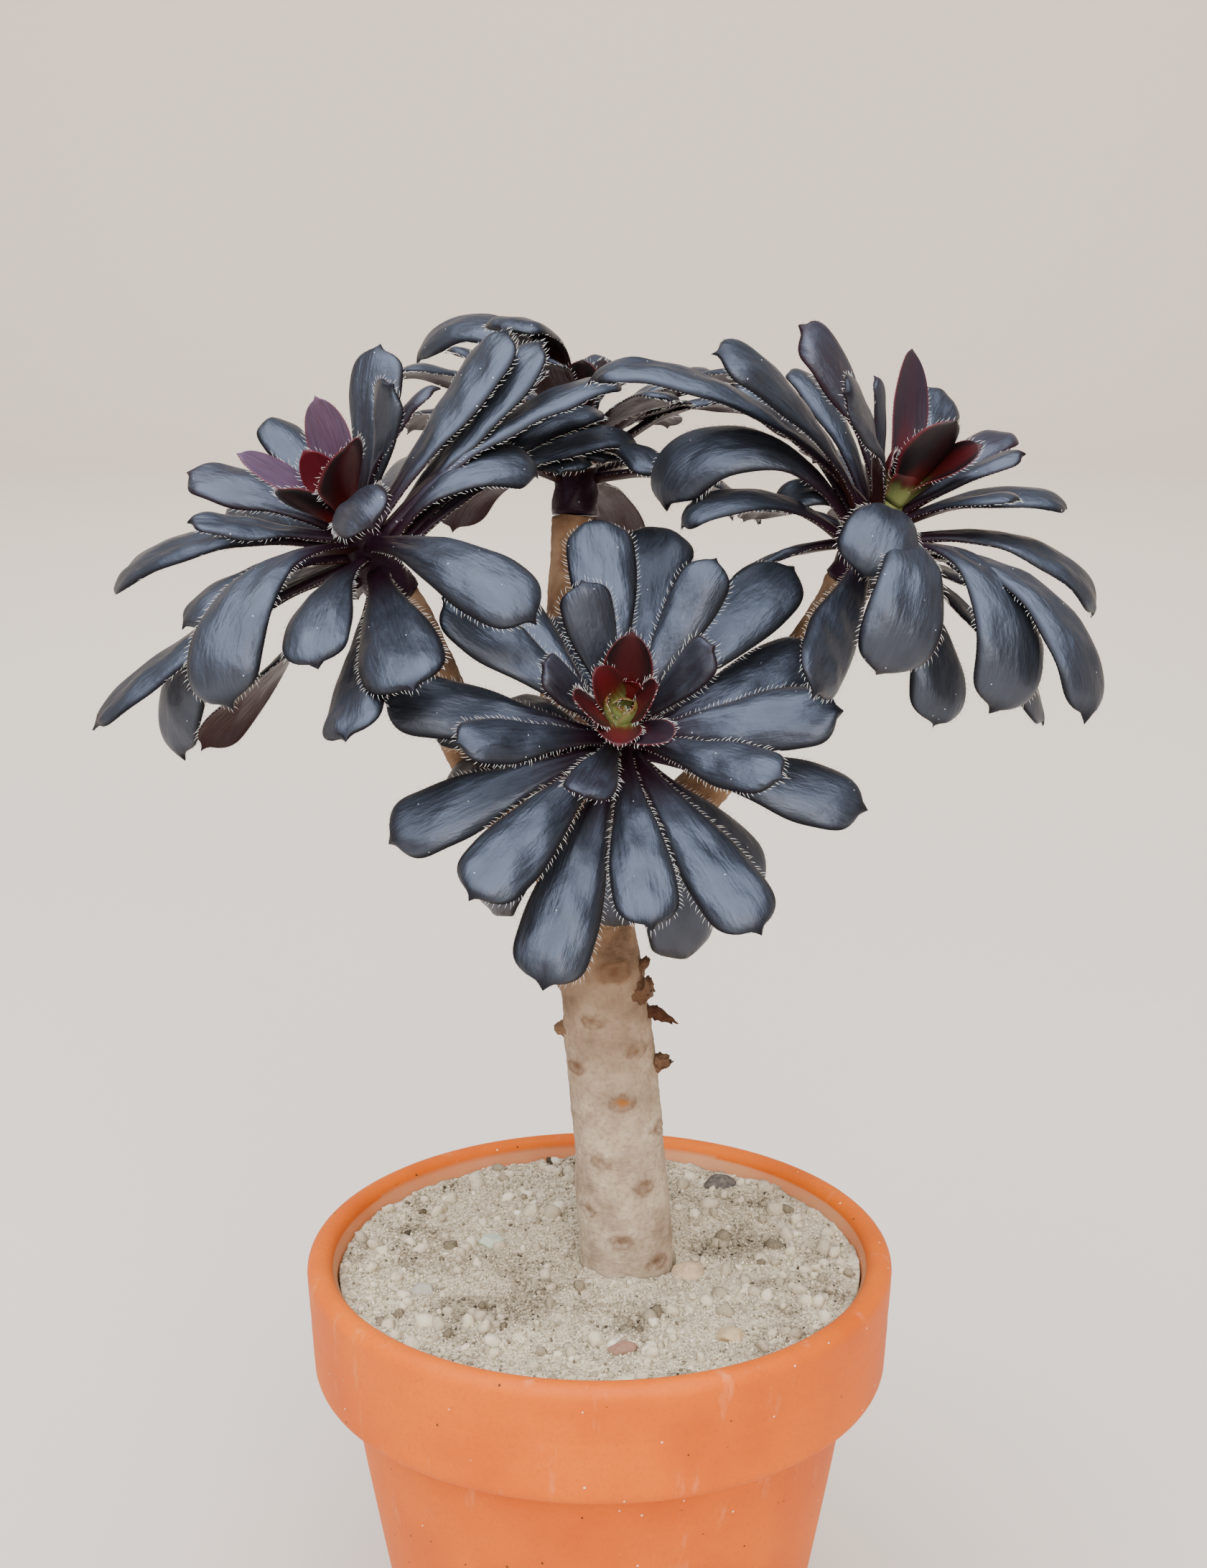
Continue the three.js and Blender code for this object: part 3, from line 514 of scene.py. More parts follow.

# %% [markdown]
# ## The hearts' skin
# Young leaves have the same wax but less of the dark pigment. Their shaded foot is yellow green, red shows
# next, and the part that has seen the sun is maroon to black. The very youngest are nearly all green with
# red margins. So the colour runs along the blade, and each leaf keeps three values of its own: how far
# the green reaches, how dark its sunlit part is, and how much grey-pink bloom lies on it. The same dark
# also grows towards the margins, which is painted shade, and the grey-pink bloom lies in streaks and is
# partly a painted sheen. Thin young tissue also lets a little light through, which a trace of subsurface
# gives.

# %% Heart leaf skin
def heart_leaf_skin():
    material, tree = new_material("aeonium_heart_leaf_waxy_cuticle", {
        "IOR": 1.45, "Specular IOR Level": 0.3, "Subsurface Weight": 0.1, "Subsurface Scale": 0.8 * MM,
        "Subsurface Radius": (1.0, 0.35, 0.2)})
    streak = leaf_streaks(tree, 0.6, 6)
    own = {name: add(tree, "Attribute", attribute_name=name).outputs["Fac"]
           for name in ("green_reach", "sun_dark_and_edge_shade", "bloom", "along")}
    beyond = add(tree, "Math", {0: own["along"], 1: own["green_reach"]}, operation="SUBTRACT").outputs[0]
    loosened = add(tree, "Math", {0: streak, 1: 0.3, 2: beyond}, operation="MULTIPLY_ADD").outputs[0]
    red = add(tree, "ValToRGB", {0: loosened}, stops=[
        (0.02, "#7E8650"), (0.15, "#5E5020"), (0.25, "#5E180C"), (0.5, "#62060F"), (0.9, "#54040E")])
    # Darker towards the tip, where the sun made pigment, and towards the margins, which is painted shade.
    tip_and_painted_edge_shade = add(tree, "Math", {0: blade_value(tree, "edge", 0.2, 0.95, 0, 0.45),
                                      1: blade_value(tree, "along", 0.1, 0.6, 0.3, 0.95)}).outputs[0]
    shine = add(tree, "MapRange", {"Value": streak, "From Min": 0.3, "From Max": 0.7, "To Min": 0.6})
    colour = layered(
        tree, red.outputs[0],
        # Maroon black: pigment at the tip, painted shade at the margins.
        (times(tree, own["sun_dark_and_edge_shade"], tip_and_painted_edge_shade), "#10070A"),
        # The grey-pink coat is partly bloom and partly a painted sheen.
        (times(tree, own["bloom"], shine.outputs[0]), "#5C4860"),
        (blade_value(tree, "edge", 0.88, 1, 0, 0.4), "#7A2630"))
    rough = add(tree, "MapRange", {"Value": streak, "To Min": 0.38, "To Max": 0.55}).outputs[0]
    bump = add(tree, "Bump", {"Height": streak, "Strength": 0.3, "Distance": 0.2 * MM}).outputs[0]
    return finished(material, {"Base Color": colour, "Roughness": rough, "Normal": bump})


HEART_LEAF = heart_leaf_skin()
print("made", HEART_LEAF.name)

# %% [markdown]
# ## Heads of leaves
# Each head becomes two pieces, because the heart has another skin: one of dark leaves on their core, and
# one of heart leaves on a bud. The core is the thick tip of the branch, ringed by old leaf bases. In a
# real bud the next leaves are short cupped scales, already folded over each other like hands, so the bud
# uses the same blade with a wide foot and a deep cup, each scale smaller than the last.

# %% Build the heads
# Heights are from the head's tip, along its axis.
CORE = SimpleNamespace(top=-3, bottom=-23, top_radius=4.6, bottom_radius=6, rings=18,
                       ridges=5, ridge_depth=0.05, ridge_lean=0.9)
DOME = SimpleNamespace(top=1.2, bottom=-2.7, radius=3.1, height=4.2, rings=8)
# Bud scales, from the outermost to the innermost.
BUD = SimpleNamespace(scales=9, rise=(74, 97), droop=(-20, -70), length=(10, 3), width=(9.5, 2.8),
                      root=(3.6, 0.4))
# Each heart leaf: how far it is green, how dark in the sun and at its margins, where the dark is painted
# shade, and its bloom, which is partly a painted sheen.
HEART_LOOK = {
    "front": {0: (0.4, 0.6, 0), 1: (0.45, 0.55, 0), 2: (0.12, 0.7, 0), 3: (0.12, 0.7, 0),
              4: (0.0, 0.7, 0), 5: (0.0, 1.0, 0.1), -1: (0.3, 0.3, 0), "others": (0.95, 0.1, 0)},
    "left": {0: (0.2, 0.2, 0), 1: (0.0, 0.8, 0.85), 2: (0.0, 0.95, 0.7), 3: (0.12, 0.7, 0),
             4: (0.0, 0.1, 0.1), 5: (0.05, 0.95, 0), "others": (0.3, 0.5, 0)},
    "right": {0: (0.4, 0.7, 0), 1: (0.3, 0.8, 0), 2: (0.0, 1.0, 0.15), 3: (0.35, 0.75, 0),
              6: (0.18, 1.0, 0), "others": (0.5, 0.6, 0)},
    "back": {"others": (0.0, 1.0, 0)},
}


def bud_scales(head):
    """The leaves that are still folded in the bud, each smaller and more upright than the last."""
    ranges = np.array([BUD.rise, BUD.droop, BUD.length, BUD.width, BUD.root])
    scales = []
    for i in range(BUD.scales):
        share = i / (BUD.scales - 1)
        rise, droop, length, width, root = ranges @ [1 - share, share]
        scales.append(SimpleNamespace(
            number=-1 - i, is_heart=True, rise=rise, droop=droop, length=length, width=width, twist=0,
            turn=head.phase - head.hand * GOLDEN_ANGLE * (i + 1), sink=0.4, root=root))
    return scales


def core_shape(head, heart):
    """A lathed core with the ridges of old leaf bases, or the small dome under a heart."""
    count = RING_POINTS
    shape = DOME if heart else CORE
    heights = np.linspace(shape.bottom, shape.top, shape.rings)
    if heart:
        radii = DOME.radius * np.sqrt(np.clip(1 - ((heights - DOME.bottom) / DOME.height) ** 2, 0.02, 1))
    else:
        radii = np.interp(heights, [CORE.bottom, CORE.top], [CORE.bottom_radius, CORE.top_radius])
    angle = 2 * math.pi * np.arange(count) / count
    depth = 0 if heart else CORE.ridge_depth
    ridge = 1 + depth * np.sin(CORE.ridges * angle + CORE.ridge_lean * heights[:, None])
    ring = turned(head.uphill, head.side, angle)
    points = (np.array(head.tip) + head.axis * heights[:, None, None]
              + ring[None] * (radii[:, None] * ridge)[..., None])
    flat = np.zeros(points.shape[:2])
    values = {"along": flat, "edge": flat, "under": flat, "youth": flat + 0.3, "chance": flat,
              "blade_mm": points}
    return points, values


def heart_look(head, leaf):
    look = HEART_LOOK[head.name]
    return look.get(leaf.number, look["others"])


def build_head(head, heart, draw):
    """One piece of blades on their core, and the margins for its hairs."""
    blade = HEART_BLADE if heart else DARK_BLADE
    leaves = [(leaf, blade) for leaf in leaves_of(head) if leaf.is_heart == heart]
    leaves += [(scale, BUD_SCALE) for scale in bud_scales(head)] if heart else []
    shapes = [(*core_shape(head, heart), [], (0.6, 0.3, 0))]
    shapes += [(*blade_shape(head, leaf, kind, draw), heart_look(head, leaf)) for leaf, kind in leaves]
    points, faces, margins, values = [], [], [], {}
    first = 0
    for shape, numbers, edges, look in shapes:
        rings, count = shape.shape[:2]
        faces += tube_faces(rings, count, first)
        first += rings * count
        points.append(shape.reshape(-1, 3))
        for key, value in zip(("green_reach", "sun_dark_and_edge_shade", "bloom"), look):
            numbers[key] = np.full((rings, count), value)
        for key, number in numbers.items():
            flat = np.asarray(number, float).reshape((rings * count, -1))
            values.setdefault(key, []).append(flat)
        margins += edges
    joined = {key: np.squeeze(np.vstack(parts)) for key, parts in values.items()}
    kind = "heart" if heart else "rosette"
    new_piece(f"{kind}_{head.name}_leaves", np.vstack(points), faces, HEART_LEAF if heart else DARK_LEAF,
              joined, f"{kind}_{head.name}")
    return margins


margins_of = {}
for head in heads:
    draw = np.random.default_rng(100 + len(margins_of))
    margins_of[head.name] = build_head(head, False, draw) + build_head(head, True, draw)
print("margins to fringe:", {name: len(margins) for name, margins in margins_of.items()})

# %% [markdown]
# ## The fringe of white hairs
# Every leaf margin carries a comb of stiff white hairs, 1 to 2 mm long and 1 mm apart, that lean
# towards the leaf's tip. They draw each black leaf's outline in white, so the look depends on them.
# Blender's hair curves would be quick but do not survive an export, so each hair is a small bent cone
# of real faces. They are placed by the length of the margin, so every leaf has them as close together.

# %% White hairs
# Each hair starts sunk in the margin, runs to its bend and then leans further towards the leaf's tip.
HAIR = SimpleNamespace(spacing=1.05, length=1.5, radius=0.08, sides=3, forward=0.65, bare_claw=0.1,
                       sunk=0.12, bend=0.55, past_bend=0.5, further=0.35, waist=0.65,
                       stray_along=0.22, stray_up=0.3, uneven=(0.7, 1.25))


def hair_material():
    material, _ = new_material("aeonium_margin_hair_dry_and_translucent", {
        "Base Color": linear("#DEDBD6"), "Roughness": 0.6, "IOR": 1.5, "Subsurface Weight": 0.2,
        "Subsurface Scale": 0.3 * MM})
    return material


def margin_hairs(margin, draw):
    """Rings of three points for every hair of one margin."""
    edge, along, outward, upward = margin
    lengths = np.concatenate([[0], np.cumsum(np.linalg.norm(np.diff(edge, axis=0), axis=1))])
    places = np.arange(HAIR.bare_claw * lengths[-1], lengths[-1] - 0.15, HAIR.spacing)
    places = places + draw.uniform(-0.3, 0.3, len(places)) * HAIR.spacing

    def at_places(track):
        return np.stack([np.interp(places, lengths, track[:, i]) for i in range(3)], axis=1)

    tangent = unit(at_places(np.gradient(edge, lengths, axis=0)))
    up = unit(at_places(upward))
    out = np.cross(tangent, up)
    out *= np.sign(np.sum(out * at_places(outward), axis=1, keepdims=True))
    lean = out + tangent * (HAIR.forward + draw.normal(0, HAIR.stray_along, (len(places), 1)))
    lean = unit(lean + up * draw.normal(0.05, HAIR.stray_up, (len(places), 1)))
    grown = 0.45 + 0.55 * smooth_step(places / lengths[-1], HAIR.bare_claw, 0.45)
    size = grown * draw.uniform(*HAIR.uneven, len(places)) * HAIR.length
    base = at_places(edge) - lean * HAIR.sunk
    bent = base + lean * (size * HAIR.bend)[:, None]
    tip = bent + unit(lean + tangent * HAIR.further) * (size * HAIR.past_bend)[:, None]
    third = np.cross(lean, up)
    corner = [third * math.cos(a) + np.cross(lean, third) * math.sin(a)
              for a in 2 * math.pi * np.arange(HAIR.sides) / HAIR.sides]
    rings = [middle + c * width for middle, width in ((base, HAIR.radius), (bent, HAIR.radius * HAIR.waist))
             for c in corner]
    return np.stack([*rings, tip], axis=1)


def hair_faces(count):
    """Faces of count hairs: a foot, three sides, and three sides that close in the tip."""
    n = HAIR.sides
    pattern = [tuple(range(n - 1, -1, -1))]
    pattern += [(i, (i + 1) % n, n + (i + 1) % n, n + i) for i in range(n)]
    pattern += [(n + i, n + (i + 1) % n, 2 * n) for i in range(n)]
    return [tuple(hair * (2 * n + 1) + corner for corner in face)
            for hair in range(count) for face in pattern]


HAIR_WHITE = hair_material()
for number, (name, margins) in enumerate(margins_of.items()):
    draw = np.random.default_rng(200 + number)
    hairs = np.concatenate([margin_hairs(margin, draw) for margin in margins])
    new_piece(f"rosette_{name}_hairs", hairs.reshape(-1, 3), hair_faces(len(hairs)), HAIR_WHITE)

# %% [markdown]
# ## The trunk
# The stem is soft wood under a thin corky skin. Each fallen leaf left an oval scar, brown at the middle
# with a slightly raised rim. The frame already has the trunk and branches as one joined solid, so a copy
# of it is rebuilt by a voxel remesh into even small faces and smoothed, which also blends the branches
# into the fork as wood grows. Its points are then moved by formulas: low swellings, fine wrinkles and
# the scars. Each point also keeps how much scar it has and how high it is, for the bark's colour.
# The frame's plain stubs are pressed back into the skin, because torn ones take their place below.

# %% The trunk's surface
TRUNK_LINE = np.array([[7.3, 0, 78], [7.3, 0, 118], [6.4, 0, 140], [4.6, 0, 166], [2, 0, 192],
                       [-1, -1, 216], [-3.4, -2, 238]])
TRUNK_RADII = [12.2, 12.2, 12, 11.6, 11.2, 10.4, 8.4]
# Heading round the trunk in degrees, height and half width. A scar is flatter than it is wide.
SCAR_FLATNESS = 0.62
SCARS = [
    [23, 210, 4.2], [-17, 197, 2.6], [40, 189, 2.8], [-50, 184, 2.8], [11, 176, 3], [60, 167, 2.8],
    [-23, 160, 2.6], [29, 153, 2.6], [-50, 146, 2.8], [-4, 139, 2.7], [42, 132, 3], [96, 206, 3],
    [140, 190, 3], [180, 208, 3], [225, 182, 3], [170, 160, 2.8], [115, 146, 2.8], [250, 152, 3],
    [205, 136, 2.8],
]
# The scar that was torn last, still rust red.
FRESH_SCAR = 4
BARK = SimpleNamespace(voxel=0.8, swell=0.55, wrinkle=0.22, scar_rim=0.45, scar_pit=0.5, fork=214)


def remeshed_copy(node, voxel_mm, smooth_turns):
    """Points and faces of a node's copy, rebuilt into even faces and smoothed. The node is untouched."""
    copy = bpy.data.objects.new("remeshed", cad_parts[node].data.copy())
    bpy.context.scene.collection.objects.link(copy)
    copy.modifiers.new("even", "REMESH").voxel_size = voxel_mm * MM
    ease = copy.modifiers.new("ease", "SMOOTH")
    ease.factor, ease.iterations = 0.5, smooth_turns
    made = copy.evaluated_get(bpy.context.evaluated_depsgraph_get()).to_mesh()
    points = np.empty(len(made.vertices) * 3)
    normals = np.empty(len(made.vertices) * 3)
    made.vertices.foreach_get("co", points)
    made.vertex_normals.foreach_get("vector", normals)
    faces = [tuple(face.vertices) for face in made.polygons]
    bpy.data.objects.remove(copy)
    return points.reshape(-1, 3) / MM, normals.reshape(-1, 3), faces


def perlin(points, scale_mm, octaves=1):
    """Smooth noise from -1 to 1, with features of about scale_mm."""
    scaled = points / scale_mm
    return np.array([noise.fractal(Vector(p), 1.0, 2.0, octaves) for p in scaled])


def trunk_middle(height):
    """The trunk's middle line at a height, and its radius there."""
    middle = [np.interp(height, TRUNK_LINE[:, 2], TRUNK_LINE[:, i]) for i in (0, 1)]
    return np.stack(middle, axis=-1), np.interp(height, TRUNK_LINE[:, 2], TRUNK_RADII)


def scar_reaches(points):
    """For every point and scar, how far the point is from the scar's middle, in half widths."""
    middle, _ = trunk_middle(points[:, 2])
    offset = points[:, :2] - middle
    heading = np.degrees(np.arctan2(offset[:, 0], -offset[:, 1]))
    radius = np.hypot(*offset.T)
    reaches = []
    for at, height, half in SCARS:
        sideways = np.radians((heading - at + 180) % 360 - 180) * radius
        upward = (points[:, 2] - height) / SCAR_FLATNESS
        reaches.append(np.where(radius < 16, np.hypot(sideways, upward) / half, 9))
    return np.array(reaches)


points, normals, faces = remeshed_copy("trunk", BARK.voxel, 6)
middle, radius = trunk_middle(points[:, 2])
offset = points[:, :2] - middle
reach = np.hypot(*offset.T)
past = (reach > radius + 0.5) & (points[:, 2] < BARK.fork)
points[past, :2] = (middle + offset * ((radius + 0.3) / reach)[:, None])[past]
reaches = scar_reaches(points + 0.9 * perlin(points, 2.2)[:, None])
nearest, fresh = reaches.min(axis=0), 1 - smooth_step(reaches[FRESH_SCAR], 0.35, 0.85)
rim = np.exp(-((nearest - 1) / 0.22) ** 2)
pit = 1 - smooth_step(nearest, 0.3, 0.95)
wrinkles = perlin(points * [1, 1, 2.6], 3.0, 3)
moved = BARK.swell * perlin(points, 12) + BARK.wrinkle * wrinkles + BARK.scar_rim * rim - BARK.scar_pit * pit
height = smooth_step(points[:, 2], 150, 235)
print("trunk points:", len(points), "moved by", moved.min().round(2), "to", moved.max().round(2), "mm")

# %% [markdown]
# ## Bark
# Young bark is cork: matt, pale grey beige and a little pink near the soil, where it is dry and old, and
# browner near the heads, where the leaves fell last. Its roughness is high, about 0.8. The scars are
# reddish brown. Cork this smooth has fine crosswise wrinkles 1 mm apart, which are bump, and blotches of
# a few millimetres, which are colour alone.

# %% Bark
def bark_skin():
    material, tree = new_material("aeonium_bark_dry_cork", {"IOR": 1.45, "Specular IOR Level": 0.3})
    place = add(tree, "TexCoord").outputs["Object"]
    blotch = add(tree, "TexNoise", {"Vector": place, "Scale": 1 / (9 * MM), "Detail": 4}).outputs["Fac"]
    fine = add(tree, "TexNoise", {"Vector": place, "Scale": 1 / (1.2 * MM), "Detail": 3}).outputs["Fac"]
    kept = {name: add(tree, "Attribute", attribute_name=name).outputs["Fac"]
            for name in ("height", "scar", "fresh", "dry")}
    pale = add(tree, "ValToRGB", {0: blotch}, stops=[
        (0.3, "#8E7C68"), (0.5, "#B2A08A"), (0.7, "#C9BAA2")]).outputs[0]
    brown = add(tree, "ValToRGB", {0: blotch}, stops=[
        (0.3, "#4A3422"), (0.5, "#765A42"), (0.72, "#947A60")]).outputs[0]
    grain = add(tree, "MapRange", {"Value": fine, "From Min": 0.45, "From Max": 0.7, "To Max": 0.45})
    colour = layered(tree, pale, (kept["height"], brown), (grain.outputs[0], "#7A6250"),
                     (kept["scar"], "#5A3820"), (kept["fresh"], "#A0601C"), (kept["dry"], "#4A2C1C"))
    rough = add(tree, "MapRange", {"Value": fine, "To Min": 0.68, "To Max": 0.92}).outputs[0]
    flattened = add(tree, "VectorMath", {0: place, 1: (1, 1, 3)}, operation="MULTIPLY").outputs[0]
    lines = add(tree, "TexNoise", {"Vector": flattened, "Scale": 1 / (2 * MM), "Detail": 5}).outputs["Fac"]
    bump = add(tree, "Bump", {"Height": lines, "Strength": 0.6, "Distance": 0.4 * MM}).outputs[0]
    return finished(material, {"Base Color": colour, "Roughness": rough, "Normal": bump})


BARK_SKIN = bark_skin()
scar_brown = np.clip(0.75 * pit + 0.65 * rim, 0, 1) * np.clip(0.85 + 0.6 * perlin(points, 2), 0, 1)
new_piece("trunk_and_branches", points + normals * moved[:, None], faces, BARK_SKIN,
          {"scar": scar_brown, "height": height, "fresh": 0.8 * fresh, "dry": np.zeros(len(points))},
          "trunk")

# %% [markdown]
# ## Dried stubs
# Some fallen leaves left their foot behind, which dried, shrank and tore. What stays is a ragged plug of
# dead tissue a few millimetres long, so it is a tube again: rings along a line that curls away from the
# bark. Noise of 1 to 2 mm tears both the width of the rings and the end. Its brown comes from the same
# bark material by the dry value.

# %% Torn stubs on the trunk
# Heading round the trunk, height, length, tilt, curl, half width, half height, how dry. The heading,
# tilt and curl are in degrees.
STUBS = [
    [70, 203, 2.4, 10, -20, 3.4, 3.6, 0.5], [78, 208, 2.8, 35, 20, 2.4, 1.5, 0.6],
    [84, 197, 6.5, -12, -20, 1.9, 1.5, 1.0], [80, 183, 3.6, 5, 25, 2.4, 2.1, 0.3],
    [-80, 206, 3.6, 5, 30, 2.6, 1.8, 0.6], [-86, 192, 1.8, 0, 0, 2.4, 2.0, 0.25],
]
STUB = SimpleNamespace(rings=18, points=24, sunk=1.6, ragged=1.1, torn=0.55, end_ragged=1.4, end_torn=0.4)


def torn_stub(stub, draw):
    """Rings of one dried leaf foot that curls away from the trunk."""
    heading, height, length, tilt, curl, half_width, half_height, _ = stub
    middle, radius = trunk_middle(height)
    outward = turned(np.array([0.0, -1, 0]), np.array([1.0, 0, 0]), np.radians(heading))
    side = np.cross(UP, outward)
    share = np.linspace(0, 1, STUB.rings)
    bend = np.radians(tilt + curl * share ** 1.5)
    along, upward = turned(outward, UP, bend), turned(UP, -outward, bend)
    foot = np.array([*middle, height]) + outward * (radius - STUB.sunk)
    line = foot + np.cumsum(along, axis=0) * (length + STUB.sunk) / STUB.rings
    angle = 2 * math.pi * np.arange(STUB.points) / STUB.points
    size = (1.05 - 0.55 * share ** 2)[:, None]
    rings = (line[:, None] + side * (half_width * size * np.cos(angle))[..., None]
             + upward[:, None] * (half_height * size * np.sin(angle))[..., None])
    seed = draw.uniform(0, 99)
    out = rings - line[:, None]
    tear = perlin((rings + seed).reshape(-1, 3), STUB.ragged, 2).reshape(STUB.rings, -1, 1)
    around = np.stack([3 * np.cos(angle), 3 * np.sin(angle), np.full(STUB.points, seed)], axis=-1)
    reach = STUB.end_torn * length * share[:, None] ** 2 * perlin(around, STUB.end_ragged, 2)
    return rings + out * STUB.torn * tear + along[:, None] * reach[..., None]


draw = np.random.default_rng(50)
stubs = [torn_stub(stub, draw) for stub in STUBS]
each = STUB.rings * STUB.points
stub_faces = [face for i in range(len(stubs)) for face in tube_faces(STUB.rings, STUB.points, i * each)]
nothing = np.zeros(len(stubs) * each)
new_piece("dried_leaf_stubs", np.concatenate(stubs).reshape(-1, 3), stub_faces, BARK_SKIN,
          {"scar": nothing, "height": nothing + 1, "fresh": nothing,
           "dry": np.repeat([stub[-1] for stub in STUBS], each)})

# %% [markdown]
# ## The pot
# A clay pot is thrown or pressed as a body of revolution, so the natural way to model it is to turn a
# profile: the straight tapered wall, the thick collar with a shallow groove, and the rounded lip. A
# profile of arcs and lines keeps the lip truly round. The wall's faint rings are left by the tool that
# shaped the wet clay, and they are a few hundredths of a millimetre deep, so they are drawn a little
# deeper than real to be seen.

# %% The pot
POT = SimpleNamespace(height=133, foot_radius=48, under_collar=65.5, rim_radius=75, collar=31, wall=6.5,
                      floor=8, drain=8, inside_rings=24, turns=256)


def inner_radius(z):
    """The inside of the pot's wall, which flares out under the rim."""
    slope = (POT.under_collar - POT.foot_radius) / (POT.height - POT.collar)
    body = POT.foot_radius + slope * z - POT.wall
    flare = smooth_step(z, POT.height - POT.collar - 12, POT.height - 8)
    return body + flare * (POT.rim_radius - POT.wall - 1 - body)


def arc(centre, radius, first, last, steps=8):
    """Points of an arc in the profile's plane, by angle from the horizontal in degrees."""
    angle = np.radians(np.linspace(first, last, steps))
    return [(centre[0] + radius * math.cos(a), centre[1] + radius * math.sin(a)) for a in angle]


def straight(start, end, steps):
    return [tuple(point) for point in np.linspace(start, end, steps)[1:-1]]


def pot_profile():
    """Radius and height, from the drainage hole out, up the wall, over the lip and down inside."""
    collar_foot = POT.height - POT.collar
    lip = POT.wall / 2
    lip_middle = (POT.rim_radius - lip, POT.height - lip)
    profile = [(POT.drain, 0.0), *straight((POT.drain, 0), (POT.foot_radius - 1.5, 0), 8)]
    profile += arc((POT.foot_radius - 1.5, 1.7), 1.7, -90, -8, 6)
    profile += straight((POT.foot_radius + 0.3, 2), (POT.under_collar - 0.2, collar_foot - 1.6), 40)
    profile += [(POT.under_collar, collar_foot - 0.9), (POT.under_collar + 0.7, collar_foot)]
    profile += arc((POT.rim_radius - 4, collar_foot + 2.8), 2.8, -90, -5, 8)
    profile += straight((POT.rim_radius - 1.2, collar_foot + 3), (POT.rim_radius, lip_middle[1]), 26)
    profile += arc(lip_middle, lip, 0, 180, 15)
    inside = np.linspace(lip_middle[1] - 1, POT.floor + 1, POT.inside_rings)
    profile += [(float(inner_radius(z)), float(z)) for z in inside]
    profile += [(float(inner_radius(POT.floor)) - 2, POT.floor), (POT.drain, POT.floor)]
    return np.array(profile)


GROOVE = SimpleNamespace(below_rim=14, half_width=1.5, depth=0.12)
THROWING_RINGS = SimpleNamespace(depth=0.05, spacing=2.6, low=3, high=128)
WOBBLE = 0.0012


def turned_pot(profile):
    """Rings of points round the axis, with the groove, the tool's rings and a slight wobble."""
    radius, z = profile.T
    outside = np.arange(len(radius)) < len(radius) - POT.inside_rings - 2
    groove = GROOVE.depth * np.exp(-((z - POT.height + GROOVE.below_rim) / GROOVE.half_width) ** 2)
    rings = THROWING_RINGS.depth * np.sin(2 * math.pi * z / THROWING_RINGS.spacing + 2 * np.sin(z / 9))
    ringed = (z > THROWING_RINGS.low) & (z < THROWING_RINGS.high)
    radius = radius - outside * (groove - ringed * rings)
    angle = 2 * math.pi * np.arange(POT.turns) / POT.turns
    wobble = 1 - WOBBLE + WOBBLE * np.sin(2 * angle + 1)
    return np.stack([np.outer(radius, np.cos(angle) * wobble), np.outer(radius, np.sin(angle) * wobble),
                     np.repeat(z[:, None], POT.turns, 1)], axis=-1)


def closed_rings(rings, count):
    """Faces of rings of points whose last ring joins the first again."""
    return [face for ring in range(rings)
            for face in between_rings(count, ring * count, (ring + 1) % rings * count)]


pot_points = turned_pot(pot_profile())
print("pot:", len(pot_points), "rings of", POT.turns, "points")

# %% [markdown]
# ## Terracotta
# Terracotta is fired earthenware, left unglazed. Machine-pressed pots leave the mould smooth, so they
# have a dull satin face, roughness near 0.6, with an index near 1.5. The iron in the clay gives the
# orange, which is never quite even. On top lie the marks of use: pale dusty scuffs, white specks of lime
# and dark ones of soil, half a millimetre to a millimetre across, and a film of dust on the inside,
# where the grit has been higher.

# %% Terracotta
def speckle(tree, place, spacing_mm, size, chosen):
    """1 inside scattered round specks. size is a share of the spacing, chosen the share of cells."""
    cells = add(tree, "TexVoronoi", {"Vector": place, "Scale": 1 / (spacing_mm * MM)})
    near = add(tree, "MapRange", {"Value": cells.outputs["Distance"], "From Min": size,
                                  "From Max": size * 0.6}).outputs[0]
    pick = add(tree, "SeparateColor", {0: cells.outputs["Color"]}).outputs[0]
    return times(tree, near, add(tree, "Math", {0: pick, 1: chosen}, operation="LESS_THAN").outputs[0])


